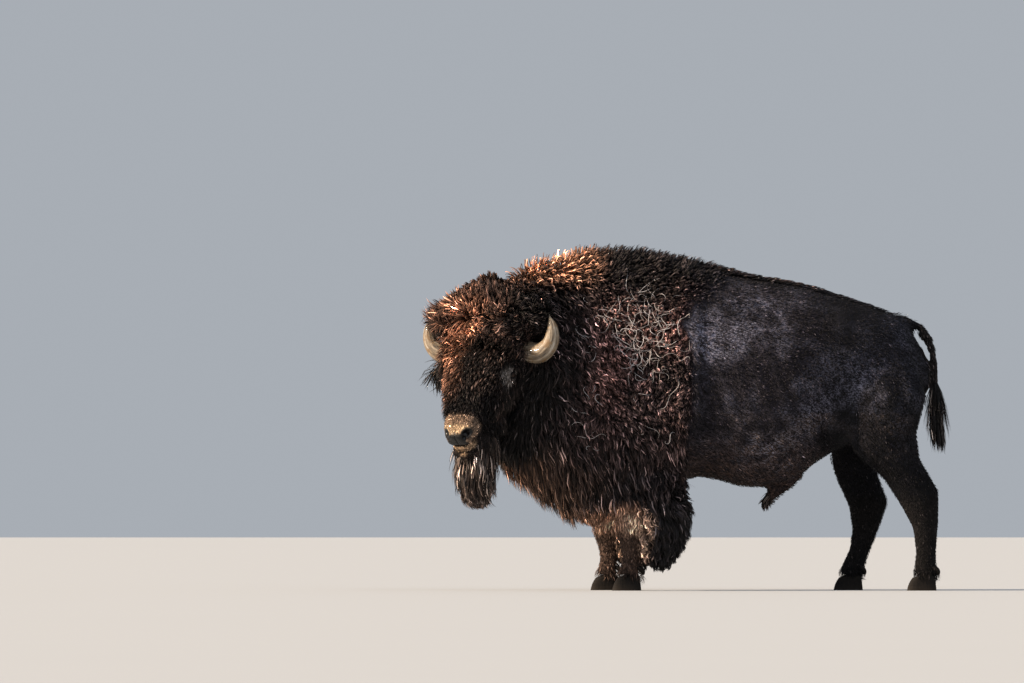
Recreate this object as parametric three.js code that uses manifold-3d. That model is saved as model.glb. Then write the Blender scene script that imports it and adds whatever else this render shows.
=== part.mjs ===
// American bison bull, standing square with its head turned to its left: a life-size still model.
// Millimetres, +Z up. The head end points towards -X and the left side towards -Y.
// The flesh is one solid, joined from lofts of oval rings that reach to the tips of the coat.
// It is cut back from the horns, eyes, ears and hooves by GAP, and then parted into its nodes.
import * as THREE from "three";
import { mergeVertices } from "three/addons/utils/BufferGeometryUtils.js";
import Module from "manifold-3d";

const wasm = await Module();
wasm.setup();

// ---------------------------------------------------------------- driving dimensions

const GAP = 0.4; // left between neighbouring pieces

// Trunk, as outlines over X.
const TRUNK_FRONT = -490;
const CAPE_EDGE = 34; // where the woolly cape ends on the ribs
const FLANK = 668; // where the barrel meets the hindquarters
const RUMP_END = 1216;
const HUMP_HEIGHT = 1749;
const CAPE_DEPTH = 26; // how far the cape stands out from the short coat behind it

const BACK = through([
  [-700, 1702], [-400, HUMP_HEIGHT], [-190, 1729], [56, 1668], [300, 1606],
  [546, 1566], [790, 1494], [974, 1433], [1090, 1385], [1170, 1290], [RUMP_END, 1150],
]);
const UNDERSIDE = through([
  [-640, 385], [-490, 333], [-380, 365], [-250, 450], [-60, 555], [60, 578],
  [300, 522], [430, 530], [546, 565], [668, 672], [800, 735], [1000, 800], [RUMP_END, 1030],
]);
const HALF_WIDTH = through([
  [-700, 290], [-400, 325], [-150, 342], [300, 376], [546, 360],
  [790, 305], [974, 262], [1090, 205], [1170, 140], [RUMP_END, 82],
]);
const WIDEST_AT = through([[-600, 1010], [0, 1000], [400, 960], [900, 1120], [RUMP_END, 1100]]);
const BACK_ROUNDNESS = through([[-500, 1.6], [-150, 1.65], [150, 1.8], [550, 2], [RUMP_END, 2]]);
const BELLY_ROUNDNESS = through([[-500, 1.6], [-100, 2], [300, 2.2], [700, 2], [RUMP_END, 2]]);

// Neck and mane, station by station from the shoulders to the back of the head.
const NECK = [
  { x: -560, y: -12, yaw: 8, top: 1726, bottom: 345, half: 336 },
  { x: -690, y: -62, yaw: 22, top: 1702, bottom: 440, half: 320 },
  { x: -800, y: -135, yaw: 36, top: 1664, bottom: 535, half: 294 },
  { x: -900, y: -212, yaw: 50, top: 1606, bottom: 606, half: 266 },
  { x: -960, y: -255, yaw: 58, top: 1500, bottom: 720, half: 218 },
];

// Head: its frame has its origin midway between the horn bases.
const HEAD_AT = new THREE.Vector3(-1010, -280, 1225);
const HEAD_TURN = THREE.MathUtils.degToRad(61); // to its left, from the body's own line
const HEAD_DROOP = THREE.MathUtils.degToRad(52); // of the face's line, below level
const MUZZLE_START = 425; // along the face
const FACE_END = 596;
const FOREHEAD = through([
  [-230, 60], [-120, 132], [0, 158], [120, 160], [240, 138], [360, 100], [460, 72], [540, 60],
  [FACE_END, 30],
]);
const JAW = through([
  [-230, 190], [-120, 262], [0, 292], [120, 272], [240, 222], [360, 164], [460, 124], [540, 106],
  [FACE_END, 74],
]);
const CHEEK = through([
  [-230, 140], [-120, 192], [0, 192], [90, 184], [160, 172], [250, 158], [340, 134], [430, 100], [520, 93],
  [570, 84], [FACE_END, 58],
]);
const BROW_RIDGE = { along: 130, out: 126, up: 12, radii: [66, 54, 42] };

const EYE = { along: 156, out: 158, up: -16, radius: 22 };
const NOSTRIL = { along: 584, out: 48, up: 14, length: 30, width: 17, height: 22 };

// Crown of hair between and above the horns, by height over the horn bases.
const CROWN_LOW = -20;
const CROWN_TOP = 377;
const CROWN_HALF = through([
  [CROWN_LOW, 140], [40, 222], [100, 285], [155, 342], [205, 330], [240, 300], [300, 222], [345, 140],
  [CROWN_TOP, 26],
]);
const CROWN_FRONT = through([[CROWN_LOW, 90], [60, 150], [180, 175], [300, 150], [CROWN_TOP, 20]]);
const CROWN_SET = through([[CROWN_LOW, 10], [120, -36], [200, -26], [CROWN_TOP, 22]]);

// Beard under the chin, by height over the ground.
const BEARD_TOP = 890;
const BEARD_TIP = 420;
const BEARD_HALF = through([
  [BEARD_TIP, 34], [446, 72], [500, 102], [600, 122], [700, 120], [800, 114], [BEARD_TOP, 100],
]);
const BEARD_LENGTH = through([
  [BEARD_TIP, 32], [446, 74], [500, 112], [600, 140], [700, 158], [800, 150], [BEARD_TOP, 95],
]);
const BEARD_SET = through([
  [BEARD_TIP, 140], [500, 166], [600, 164], [700, 152], [800, 120], [BEARD_TOP, 60],
]);

// Horns and ears in the head's level frame: forward, to its left, up.
const HORN_LINE = [[-15, 158, 2], [-8, 215, -18], [0, 285, -20], [8, 342, 26], [12, 358, 98], [12, 338, 172]];
const HORN_RADII = [56, 55, 52, 43, 30, 9];
const EAR_LINE = [[-58, 178, -73], [-64, 240, -84], [-72, 325, -104], [-80, 396, -126]];
const EAR_HALF = [30, 58, 56, 14];
const EAR_THICK = [20, 17, 13, 6];

// Legs: forward, backward and sideways reach from the leg's line at each station.
const CORONET = 72;
const FORE_GIRTH = [
  [118, 118, 92], [96, 100, 76], [64, 64, 57], [54, 56, 46], [51, 54, 43], [60, 58, 53], [64, 60, 60],
];
const HIND_GIRTH = [
  [200, 190, 96], [232, 228, 134], [176, 174, 114], [112, 112, 76], [106, 110, 60],
  [68, 70, 47], [54, 56, 41], [60, 62, 52], [64, 62, 60],
];
const LEGS = {
  left: {
    y: -1,
    fore: [
      [-300, 186, 660], [-322, 178, 500], [-318, 170, 300], [-305, 168, 215], [-302, 167, 155],
      [-307, 167, 98],
    ],
    hind: [
      [930, 140, 1210], [985, 186, 960], [988, 200, 755], [1075, 192, 615], [1163, 186, 470],
      [1192, 182, 330], [1196, 180, 200], [1192, 180, 100],
    ],
  },
  right: {
    y: 1,
    fore: [
      [-395, 186, 660], [-432, 178, 500], [-432, 170, 305], [-413, 168, 215], [-409, 167, 155],
      [-414, 167, 98],
    ],
    hind: [
      [905, 140, 1210], [925, 186, 960], [858, 200, 748], [860, 192, 585], [918, 186, 440],
      [898, 182, 300], [868, 180, 190], [832, 180, 100],
    ],
  },
};

// Chap of long hair on each foreleg: its line from the elbow down, and its reach.
const CHAP_LINE = [[-150, 640], [-152, 540], [-150, 420], [-152, 320], [-158, 220], [-166, 140], [-172, 104]];
const CHAP_GIRTH = [
  [120, 110, 80], [150, 148, 118], [166, 170, 132], [150, 166, 126], [114, 138, 104], [66, 84, 62],
  [20, 24, 18],
];

// Hooves: two claws to a foot, and two dewclaws behind it.
const CLAW = { half: 29, spread: 31.5, toe: 88, heel: 60, topToe: 58, topHeel: 54 };
const DEWCLAW = { back: 60, out: 26, up: 108, radius: 15, drop: 30 };

// Tail.
const TAIL_LINE = [
  [1040, 1372], [1100, 1380], [1164, 1350], [1214, 1290], [1240, 1215], [1246, 1130], [1248, 1050],
];
const TAIL_RADII = [46, 30, 22, 19, 17, 16, 18];
const SWITCH_LINE = [[1248, 1062], [1250, 1000], [1254, 920], [1260, 820], [1268, 735], [1274, 700]];
const SWITCH_RADII = [20, 34, 46, 42, 22, 6];

// Sheath and scrotum.
const SHEATH_LINE = [[560, 600], [490, 540], [430, 500], [395, 462], [378, 424]];
const SHEATH_RADII = [34, 38, 38, 34, 22];
const SCROTUM = { x: 905, z: 712, radii: [52, 46, 82] };

// Where the flesh is parted into nodes.
const FAR = 2000; // well beyond the flesh
const NAPE = { x: -900, y: -212, turn: THREE.MathUtils.degToRad(50) };
const CROWN_FLOOR = 30; // over the horn bases
const JAW_LINE = [[425, -150], [640, -96]]; // down the face, out of it
const THROAT = { ahead: -38, up: -400 }; // from the horn bases
const SHOULDER = -600;
const ELBOW_UP = 470;
const ELBOW_INNER = 100; // from the middle plane
const FORE_REACH = 273; // covers a foreleg from the chap's seam forward
const CHAP_SEAM = 73; // behind the foreleg's line
const CHAP_LENGTH = 350;
const CHAP_INNER = 20;
const CHAP_UP = 560;
const KNEE_UP = 300;
const HIP_UP = 1050;
const HAM_LINE = [[FLANK, 665], [1300, 827]]; // between thigh and gaskin
const HOCK_UP = { left: 470, right: 440 };
const SCROTUM_UP = 762;
const SHEATH_TOP = [[330, 502], [660, 596]];
const TAIL_GAP = [[1095, 1345], [1182, 1275], [1221, 1180], [1221, 1040], [1204, 985], [1204, 600]];
const TAIL_REACH = 48; // to each side
const SWITCH_UP = 1056;

// ---------------------------------------------------------------- building blocks

// A smooth function through the given [x, y] pairs that never overshoots them.
function through(pairs) {
  const slopes = pairs.slice(1).map(([x, y], i) => (y - pairs[i][1]) / (x - pairs[i][0]));
  const tangents = pairs.map((_, i) => {
    const before = slopes[Math.max(i - 1, 0)];
    const after = slopes[Math.min(i, slopes.length - 1)];
    return before * after > 0 ? (2 * before * after) / (before + after) : 0;
  });
  return (x) => {
    let i = 0;
    while (i < pairs.length - 2 && x > pairs[i + 1][0]) i += 1;
    const [[x0, y0], [x1, y1]] = [pairs[i], pairs[i + 1]];
    const width = x1 - x0;
    const t = THREE.MathUtils.clamp((x - x0) / width, 0, 1);
    const [t2, t3] = [t * t, t * t * t];
    return (
      (2 * t3 - 3 * t2 + 1) * y0 + (t3 - 2 * t2 + t) * width * tangents[i] +
      (3 * t2 - 2 * t3) * y1 + (t3 - t2) * width * tangents[i + 1]
    );
  };
}

// A list of values turned into a smooth function of 0 to 1 along the list.
function along(values) {
  return through(values.map((value, i) => [i / (values.length - 1), value]));
}

// A closed solid from points and triangles, turned to face outwards.
function solid(points, triangles) {
  const vertProperties = new Float32Array(points.flatMap((p) => [p.x, p.y, p.z]));
  const make = (triVerts) => new wasm.Manifold(new wasm.Mesh({ numProp: 3, vertProperties, triVerts }));
  const made = make(new Uint32Array(triangles));
  return made.volume() > 0 ? made : make(new Uint32Array(triangles.slice().reverse()));
}

// The points of one oval ring: half to each side of its centre, top and bottom along its up axis.
// Roundness 2 is an ellipse; less is a sharper crest or keel, and more is boxier.
function ring(section, count, grow) {
  const { at, side, up, half, top, bottom, crest = 2, keel = 2 } = section;
  return Array.from({ length: count }, (_, k) => {
    const angle = (2 * Math.PI * k) / count;
    const [c, s] = [Math.cos(angle), Math.sin(angle)];
    const power = 2 / (s >= 0 ? crest : keel);
    const reach = (s >= 0 ? top : bottom) + grow;
    return at
      .clone()
      .addScaledVector(side, (half + grow) * Math.sign(c) * Math.abs(c) ** power)
      .addScaledVector(up, reach * Math.sign(s) * Math.abs(s) ** power);
  });
}

// A solid through a list of sections, with flat ends that also move out by grow.
function loft(sections, count, grow = 0) {
  const rings = sections.map((section) => ring(section, count, grow));
  const last = rings.length - 1;
  const centres = [[0, 1], [last, last - 1]].map(([end, inner]) => {
    const outwards = sections[end].at.clone().sub(sections[inner].at).setLength(grow || 1e-9);
    for (const point of rings[end]) point.add(outwards);
    return outwards.add(sections[end].at);
  });
  const triangles = [];
  for (let k = 0; k < count; k++) {
    const next = (k + 1) % count;
    for (let r = 0; r < last; r++) {
      const [a, b, c, d] = [r * count + k, r * count + next, (r + 1) * count + next, (r + 1) * count + k];
      triangles.push(a, b, c, a, c, d);
    }
    triangles.push(next, k, rings.length * count);
    triangles.push(last * count + k, last * count + next, rings.length * count + 1);
  }
  return solid([...rings.flat(), ...centres], triangles);
}

// A block with an outline of [a, b] corners, carried from one distance to another along a third axis.
function block({ at, axes: [a, b, c] }, outline, from, to, grow) {
  const polygon = outline.map((corner) => new THREE.Vector2(...corner));
  if (THREE.ShapeUtils.area(polygon) < 0) polygon.reverse();
  const count = polygon.length;
  const normals = polygon.map((corner, i) => {
    const edge = polygon[(i + 1) % count].clone().sub(corner).normalize();
    return new THREE.Vector2(edge.y, -edge.x);
  });
  const grown = polygon.map((corner, i) => {
    const before = normals[(i + count - 1) % count];
    const miter = before.clone().add(normals[i]);
    return corner.clone().addScaledVector(miter, grow / (1 + before.dot(normals[i])));
  });
  const points = [from - grow, to + grow].flatMap((distance) =>
    grown.map((p) => at.clone().addScaledVector(a, p.x).addScaledVector(b, p.y).addScaledVector(c, distance)),
  );
  const triangles = THREE.ShapeUtils.triangulateShape(grown, []).flatMap(([i, j, k]) => [
    i, j, k, k + count, j + count, i + count,
  ]);
  for (let i = 0; i < count; i++) {
    const next = (i + 1) % count;
    triangles.push(i + count, next + count, next, i + count, next, i);
  }
  return solid(points, triangles);
}

// Sections at evenly spaced places from start to end, with one more at each end.
function stations(start, end, steps, section) {
  return Array.from({ length: steps + 1 }, (_, i) => section(start + ((end - start) * i) / steps));
}

// A solid along a line of points, where each girth is [forward, backward, sideways].
// Its rings stand square to the line.
function limb(points, girths, { steps = 2, count, sideways }, grow = 0) {
  const line = new THREE.CatmullRomCurve3(points.map((p) => new THREE.Vector3(...p)));
  const reach = [0, 1, 2].map((i) => along(girths.map((girth) => girth[i])));
  const sections = stations(0, 1, (points.length - 1) * steps, (t) => {
    const tangent = line.getTangent(t);
    const side = sideways.clone().addScaledVector(tangent, -sideways.dot(tangent)).normalize();
    const up = new THREE.Vector3().crossVectors(side, tangent);
    return { at: line.getPoint(t), side, up, top: reach[0](t), bottom: reach[1](t), half: reach[2](t) };
  });
  return loft(sections, count, grow);
}

// An ellipsoid with its radii along three axes.
function ellipsoid(at, axes, radii, grow, [around, over] = [16, 10]) {
  const sphere = new THREE.SphereGeometry(1, around, over);
  sphere.deleteAttribute("normal");
  sphere.deleteAttribute("uv");
  const merged = mergeVertices(sphere);
  const [a, b, c] = axes.map((axis, i) => axis.clone().multiplyScalar(radii[i] + grow));
  merged.applyMatrix4(new THREE.Matrix4().makeBasis(a, b, c).setPosition(at));
  const { position } = merged.attributes;
  const points = Array.from({ length: position.count }, (_, i) =>
    new THREE.Vector3().fromBufferAttribute(position, i),
  );
  return solid(points, Array.from(merged.index.array));
}

// ---------------------------------------------------------------- frames

const EAST = new THREE.Vector3(1, 0, 0);
const NORTH = new THREE.Vector3(0, 1, 0);
const UP = new THREE.Vector3(0, 0, 1);

// The head's level frame: ahead and to its left. Its tilted frame: down the face and out of the forehead.
const AHEAD = new THREE.Vector3(-Math.cos(HEAD_TURN), -Math.sin(HEAD_TURN), 0);
const LEFT = new THREE.Vector3().crossVectors(UP, AHEAD);
const FACE = AHEAD.clone().multiplyScalar(Math.cos(HEAD_DROOP)).addScaledVector(UP, -Math.sin(HEAD_DROOP));
const BROW = new THREE.Vector3().crossVectors(FACE, LEFT);

// A point in the head's level frame.
function levelPoint(ahead, left, up) {
  return HEAD_AT.clone().addScaledVector(AHEAD, ahead).addScaledVector(LEFT, left).addScaledVector(UP, up);
}

// A point in the head's tilted frame.
function facePoint(down, left, out) {
  return HEAD_AT.clone().addScaledVector(FACE, down).addScaledVector(LEFT, left).addScaledVector(BROW, out);
}

const BODY_FRAME = { at: new THREE.Vector3(), axes: [EAST, UP, NORTH] };
const LEVEL_FRAME = { at: HEAD_AT, axes: [AHEAD, UP, LEFT] };
const FACE_FRAME = { at: HEAD_AT, axes: [FACE, BROW, LEFT] };
const NAPE_FRAME = {
  at: new THREE.Vector3(NAPE.x, NAPE.y, 0),
  axes: [new THREE.Vector3(-Math.cos(NAPE.turn), -Math.sin(NAPE.turn), 0), UP, UP.clone()],
};
NAPE_FRAME.axes[2].cross(NAPE_FRAME.axes[0]);

// ---------------------------------------------------------------- trunk, neck and tail

function trunkSection(x, coat) {
  return {
    at: new THREE.Vector3(x, 0, WIDEST_AT(x)),
    side: NORTH,
    up: UP,
    half: HALF_WIDTH(x) + coat,
    top: BACK(x) - WIDEST_AT(x),
    bottom: WIDEST_AT(x) - UNDERSIDE(x),
    crest: BACK_ROUNDNESS(x),
    keel: BELLY_ROUNDNESS(x),
  };
}

const [neckX, neckY, neckYaw, neckTop, neckBottom, neckHalf] = ["x", "y", "yaw", "top", "bottom", "half"].map(
  (key) => along(NECK.map((row) => row[key])),
);

function neckSection(t) {
  const turn = THREE.MathUtils.degToRad(neckYaw(t));
  const middle = (neckTop(t) + neckBottom(t)) / 2;
  return {
    at: new THREE.Vector3(neckX(t), neckY(t), middle),
    side: new THREE.Vector3(-Math.sin(turn), Math.cos(turn), 0),
    up: UP,
    half: neckHalf(t),
    top: neckTop(t) - middle,
    bottom: middle - neckBottom(t),
    crest: 1.65,
    keel: 1.7,
  };
}

// From the back of the head to the rump, with a step in at the edge of the cape.
function torso() {
  return loft([
    ...stations(1, 0, 6, neckSection),
    ...stations(TRUNK_FRONT, CAPE_EDGE, 5, (x) => trunkSection(x, CAPE_DEPTH)),
    ...stations(CAPE_EDGE + CAPE_DEPTH, RUMP_END, 12, (x) => trunkSection(x, 0)),
  ], 20);
}

// A round limb in the body's middle plane, from [x, z] points and radii.
function midline(points, radii, flat, count) {
  const line = points.map(([x, z]) => [x, 0, z]);
  return limb(line, radii.map((r) => [r, r, r * flat]), { sideways: NORTH, steps: 1, count });
}

// ---------------------------------------------------------------- head

function skull() {
  const section = (down) => ({
    at: facePoint(down, 0, 0),
    side: LEFT,
    up: BROW,
    half: CHEEK(down),
    top: FOREHEAD(down),
    bottom: JAW(down),
    crest: 2.3,
  });
  return loft(stations(-230, FACE_END, 10, section), 16);
}

function browRidge(side) {
  const { along: down, out, up, radii } = BROW_RIDGE;
  return ellipsoid(facePoint(down, side * out, up), [FACE, LEFT, BROW], radii, 0, [10, 6]);
}

function nostril(side) {
  const { along: down, out, up, length, width, height } = NOSTRIL;
  const slant = LEFT.clone().multiplyScalar(side * 0.5).addScaledVector(FACE, 0.87);
  const across = new THREE.Vector3().crossVectors(BROW, slant);
  const radii = [length, width, height];
  return ellipsoid(facePoint(down, side * out, up), [slant, across, BROW], radii, 0, [8, 6]);
}

function crown() {
  const section = (up) => ({
    at: levelPoint(CROWN_SET(up), 0, up),
    side: LEFT,
    up: AHEAD,
    half: CROWN_HALF(up),
    top: CROWN_FRONT(up),
    bottom: CROWN_FRONT(up) * 1.15,
  });
  return loft(stations(CROWN_LOW, CROWN_TOP, 8, section), 16);
}

function beard() {
  const section = (z) => ({
    at: levelPoint(BEARD_SET(z), 0, z - HEAD_AT.z),
    side: LEFT,
    up: AHEAD,
    half: BEARD_HALF(z),
    top: BEARD_LENGTH(z),
    bottom: BEARD_LENGTH(z),
  });
  return loft(stations(BEARD_TIP, BEARD_TOP, 8, section), 12);
}

function horn(side, grow) {
  const points = HORN_LINE.map(([ahead, out, up]) => levelPoint(ahead, side * out, up).toArray());
  return limb(points, HORN_RADII.map((r) => [r, r, r]), { sideways: AHEAD, count: 9 }, grow);
}

// A leaf-shaped ear with a hollow scooped out of its front.
function ear(side, grow) {
  const points = EAR_LINE.map(([ahead, out, up]) => levelPoint(ahead, side * out, up).toArray());
  const shell = EAR_HALF.map((half, i) => [half, half, EAR_THICK[i]]);
  const whole = limb(points, shell, { sideways: AHEAD, count: 8 }, grow);
  if (grow) return whole;
  const ahead = AHEAD.clone().multiplyScalar(EAR_THICK[1]).addScaledVector(UP, -6);
  const hollow = EAR_LINE.slice(1).map((p) => levelPoint(p[0], side * p[1], p[2]).add(ahead).toArray());
  const scoop = [[12, 12, 8], [36, 36, 15], [24, 24, 9]];
  return whole.subtract(limb(hollow, scoop, { sideways: AHEAD, count: 6 }));
}

function eye(side, grow) {
  const at = facePoint(EYE.along, side * EYE.out, EYE.up);
  return ellipsoid(at, [FACE, LEFT, BROW], [EYE.radius, EYE.radius, EYE.radius], grow, [8, 6]);
}

// ---------------------------------------------------------------- legs

// A leg's line, with a last upright stretch down to the coronet.
function legLine(side, kind) {
  const leg = LEGS[side];
  const line = leg[kind].map(([x, y, z]) => [x, leg.y * y, z]);
  const [x, y] = line.at(-1);
  return [...line, [x - 4, y, CORONET + 3 * GAP]];
}

function leg(side, kind) {
  const girths = kind === "fore" ? FORE_GIRTH : HIND_GIRTH;
  return limb(legLine(side, kind), girths, { sideways: NORTH, steps: 1, count: 10 });
}

function footAt(side, kind) {
  const [x, y] = legLine(side, kind).at(-1);
  return new THREE.Vector3(x, y, 0);
}

// One half of a cloven hoof, from the flat sole up to the coronet.
function claw(side, kind, out, grow) {
  const { spread, toe, heel, topToe, topHeel } = CLAW;
  const section = (z) => {
    const t = z / CORONET;
    return {
      at: footAt(side, kind).add(new THREE.Vector3(0, out * spread, z)),
      side: NORTH,
      up: EAST.clone().negate(),
      half: CLAW.half - 2.5 * t,
      top: THREE.MathUtils.lerp(toe, topToe, t),
      bottom: THREE.MathUtils.lerp(heel, topHeel, t),
      crest: 1.75,
      keel: 2.6,
    };
  };
  return loft(stations(0, CORONET, 1, section), 12, grow);
}

function dewclaw(side, kind, out, grow) {
  const { back, out: apart, up, radius, drop } = DEWCLAW;
  const foot = footAt(side, kind);
  const line = [[-16, up + 12], [0, up - drop / 3], [10, up - drop]];
  const points = line.map(([x, z]) => [foot.x + back + x, foot.y + out * apart, z]);
  const girths = [1, 0.86, 0.45].map((share) => [radius * share, radius * share, radius * share]);
  return limb(points, girths, { sideways: NORTH, steps: 1, count: 6 }, grow);
}

function chap(side) {
  const { y, fore } = LEGS[side];
  const shift = fore[1][0] - LEGS.left.fore[1][0];
  const points = CHAP_LINE.map(([x, z]) => [x + shift, y * 172, z]);
  return limb(points, CHAP_GIRTH, { sideways: NORTH, steps: 1, count: 12 });
}

// ---------------------------------------------------------------- the flesh, and the pieces set in it

const HAIR = { color: 0x1c1310, roughness: 0.95 };
const MANE = { color: 0x2a1a12, roughness: 1 };
const SHORT_COAT = { color: 0x1d1917, roughness: 0.85 };
const HORN = { color: 0x9a9385, roughness: 0.55 };
const HOOF = { color: 0x1b1816, roughness: 0.5 };
const NOSE = { color: 0x2b2019, roughness: 0.5 };
const EYEBALL = { color: 0x120b07, roughness: 0.1 };

const PAIR = [["left", 1], ["right", -1]]; // with the side's sign along LEFT
const FEET = ["fore", "hind"].flatMap((kind) => PAIR.map(([side]) => [side, kind]));
const CLAWS = [["outer", 1], ["inner", -1]];

const flesh = [
  torso(), skull(), browRidge(1), browRidge(-1), crown(), beard(),
  ...FEET.map(([side, kind]) => leg(side, kind)),
  ...PAIR.map(([side]) => chap(side)),
  midline(TAIL_LINE, TAIL_RADII, 1, 6),
  midline(SWITCH_LINE, SWITCH_RADII, 0.75, 8),
  midline(SHEATH_LINE, SHEATH_RADII, 0.8, 8),
  ellipsoid(new THREE.Vector3(SCROTUM.x, 0, SCROTUM.z), [EAST, NORTH, UP], SCROTUM.radii, 0, [8, 6]),
].reduce((all, one) => all.add(one)).subtract(nostril(1)).subtract(nostril(-1));

// Each row is a name, a finish and a function of grow. A piece gives way to the rows above it.
const SET_IN = [
  ...PAIR.map(([side, sign]) => [`${side}_horn`, HORN, (grow) => horn(sign, grow)]),
  ...PAIR.map(([side, sign]) => [`${side}_eye`, EYEBALL, (grow) => eye(sign, grow)]),
  ...PAIR.map(([side, sign]) => [`${side}_ear`, HAIR, (grow) => ear(sign, grow)]),
  ...FEET.flatMap(([side, kind]) =>
    CLAWS.flatMap(([name, sign]) => {
      const out = sign * LEGS[side].y;
      return [
        [`${side}_${kind}_hoof_${name}`, HOOF, (grow) => claw(side, kind, out, grow)],
        [`${side}_${kind}_dewclaw_${name}`, HOOF, (grow) => dewclaw(side, kind, out, grow)],
      ];
    }),
  ),
];

// ---------------------------------------------------------------- the regions that part the flesh

const rectangle = (x0, x1, z0, z1) => [[x0, z0], [x1, z0], [x1, z1], [x0, z1]];

// A block across the body over an [x, z] outline, from y0 to y1.
const across = (outline, y0, y1) => (grow) => block(BODY_FRAME, outline, y0, y1, grow);

// The same on one side of the middle plane only, starting "inner" away from it.
function beside(side, outline, inner = 0) {
  const reach = [inner + GAP / 2, FAR].map((y) => y * LEGS[side].y).sort((a, b) => a - b);
  return across(outline, ...reach);
}



// The part of a region that lies in front of the nape.
function beforeNape(region) {
  return (grow) => region(grow).intersect(block(NAPE_FRAME, rectangle(0, FAR, -FAR, FAR), -FAR, FAR, grow));
}

const headBox = (frame, outline) =>
  beforeNape((grow) => block(frame, outline, -FAR / 2, FAR / 2, grow));

const [jawBack, jawFront] = JAW_LINE;
const underJaw = JAW_LINE.map(([down, out]) => {
  const point = facePoint(down, 0, out).sub(HEAD_AT);
  return [point.dot(AHEAD), point.dot(UP)];
});

// Everything behind the line that runs down between the tail and the rump.
const tailSide = across([
  [TAIL_GAP[0][0], FAR], ...TAIL_GAP, [FAR, TAIL_GAP.at(-1)[1]], [FAR, FAR],
], -TAIL_REACH, TAIL_REACH);
const switchBox = across(rectangle(0, FAR, 0, SWITCH_UP), -FAR, FAR);

// Each row is a name, a finish and a region. A region has what earlier regions leave of the flesh.
const REGIONS = [
  ["crown", MANE, headBox(LEVEL_FRAME, rectangle(-FAR, FAR, CROWN_FLOOR, FAR))],
  ["muzzle", NOSE, headBox(FACE_FRAME, [
    [MUZZLE_START, jawBack[1]], jawFront, [jawFront[0], 200], [MUZZLE_START, 200],
  ])],
  ["beard", HAIR, headBox(LEVEL_FRAME, [
    [THROAT.ahead, THROAT.up], ...underJaw, [underJaw[1][0], -FAR], [THROAT.ahead, -FAR],
  ])],
  ["head", HAIR, headBox(LEVEL_FRAME, [
    [-FAR, THROAT.up], [THROAT.ahead, THROAT.up], underJaw[0], [FAR, underJaw[0][1]], [FAR, FAR], [-FAR, FAR],
  ])],
  ["tail_switch", HAIR, (grow) => tailSide(grow).intersect(switchBox(grow))],
  ["tail", SHORT_COAT, tailSide],
  ["neck", MANE, across(rectangle(-FAR, SHOULDER, -FAR, FAR), -FAR, FAR)],
  ...PAIR.flatMap(([side]) => {
    const seam = LEGS[side].fore[1][0] + CHAP_SEAM;
    const front = seam - FORE_REACH;
    return [
      [`${side}_chap`, MANE, beside(side, rectangle(seam, seam + CHAP_LENGTH, 0, CHAP_UP), CHAP_INNER)],
      [`${side}_fore_shank`, HAIR, beside(side, rectangle(front, seam, 0, KNEE_UP))],
      [`${side}_forearm`, HAIR, beside(side, rectangle(front, seam, KNEE_UP, ELBOW_UP), ELBOW_INNER)],
    ];
  }),
  ["sheath", SHORT_COAT, across([...SHEATH_TOP, [SHEATH_TOP[1][0], 0], [SHEATH_TOP[0][0], 0]], -80, 80)],
  ["scrotum", SHORT_COAT, across(rectangle(SCROTUM.x - 85, SCROTUM.x + 85, 600, SCROTUM_UP), -60, 60)],
  ...PAIR.flatMap(([side]) => {
    const [front, back] = HAM_LINE;
    const hock = HOCK_UP[side];
    return [
      [`${side}_thigh`, SHORT_COAT, beside(side, [front, back, [back[0], HIP_UP], [front[0], HIP_UP]])],
      [`${side}_gaskin`, SHORT_COAT, beside(side, [front, back, [back[0], hock], [front[0], hock]])],
      [`${side}_hind_shank`, SHORT_COAT, beside(side, rectangle(front[0], back[0], 0, hock))],
    ];
  }),
  ["forequarters", MANE, across(rectangle(-FAR, CAPE_EDGE, -FAR, FAR), -FAR, FAR)],
  ["barrel", SHORT_COAT, across(rectangle(-FAR, FLANK, -FAR, FAR), -FAR, FAR)],
  ["hindquarters", SHORT_COAT, across(rectangle(-FAR, FAR, -FAR, FAR), -FAR, FAR)],
];

// The largest body of a solid, without the crumbs that a cut can leave.
function largest(made) {
  return made.decompose().reduce((a, b) => (b.volume() > a.volume() ? b : a));
}

function meshOf(name, finish, made) {
  const { numProp, vertProperties, triVerts } = made.getMesh();
  const positions = new Float32Array((vertProperties.length / numProp) * 3);
  for (let i = 0; i * 3 < positions.length; i++)
    positions.set(vertProperties.subarray(i * numProp, i * numProp + 3), i * 3);
  const geometry = new THREE.BufferGeometry()
    .setAttribute("position", new THREE.BufferAttribute(positions, 3))
    .setIndex(new THREE.BufferAttribute(triVerts, 1));
  geometry.computeVertexNormals();
  const mesh = new THREE.Mesh(geometry, new THREE.MeshStandardMaterial({ metalness: 0, ...finish }));
  mesh.name = name;
  return mesh;
}

const bison = new THREE.Group();
let rest = flesh;
const taken = [];
for (const [name, finish, build] of SET_IN) {
  bison.add(meshOf(name, finish, largest(taken.reduce((made, room) => made.subtract(room), build(0)))));
  taken.push(build(GAP));
  rest = rest.subtract(taken.at(-1));
}
for (const [name, finish, region] of REGIONS) {
  bison.add(meshOf(name, finish, largest(rest.intersect(region(0)))));
  rest = rest.subtract(region(GAP));
}

// The origin goes under the middle of the whole model, at hoof level.
const box = new THREE.Box3().setFromObject(bison);
const middle = box.getCenter(new THREE.Vector3());
bison.position.set(-middle.x, -middle.y, -box.min.z);

export default bison;
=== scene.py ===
"""An American bison bull, standing: skin, coat, horns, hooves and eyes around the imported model.

Metres, +Z up, head towards -X and the left side towards -Y.
"""

import math
from types import SimpleNamespace

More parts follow.
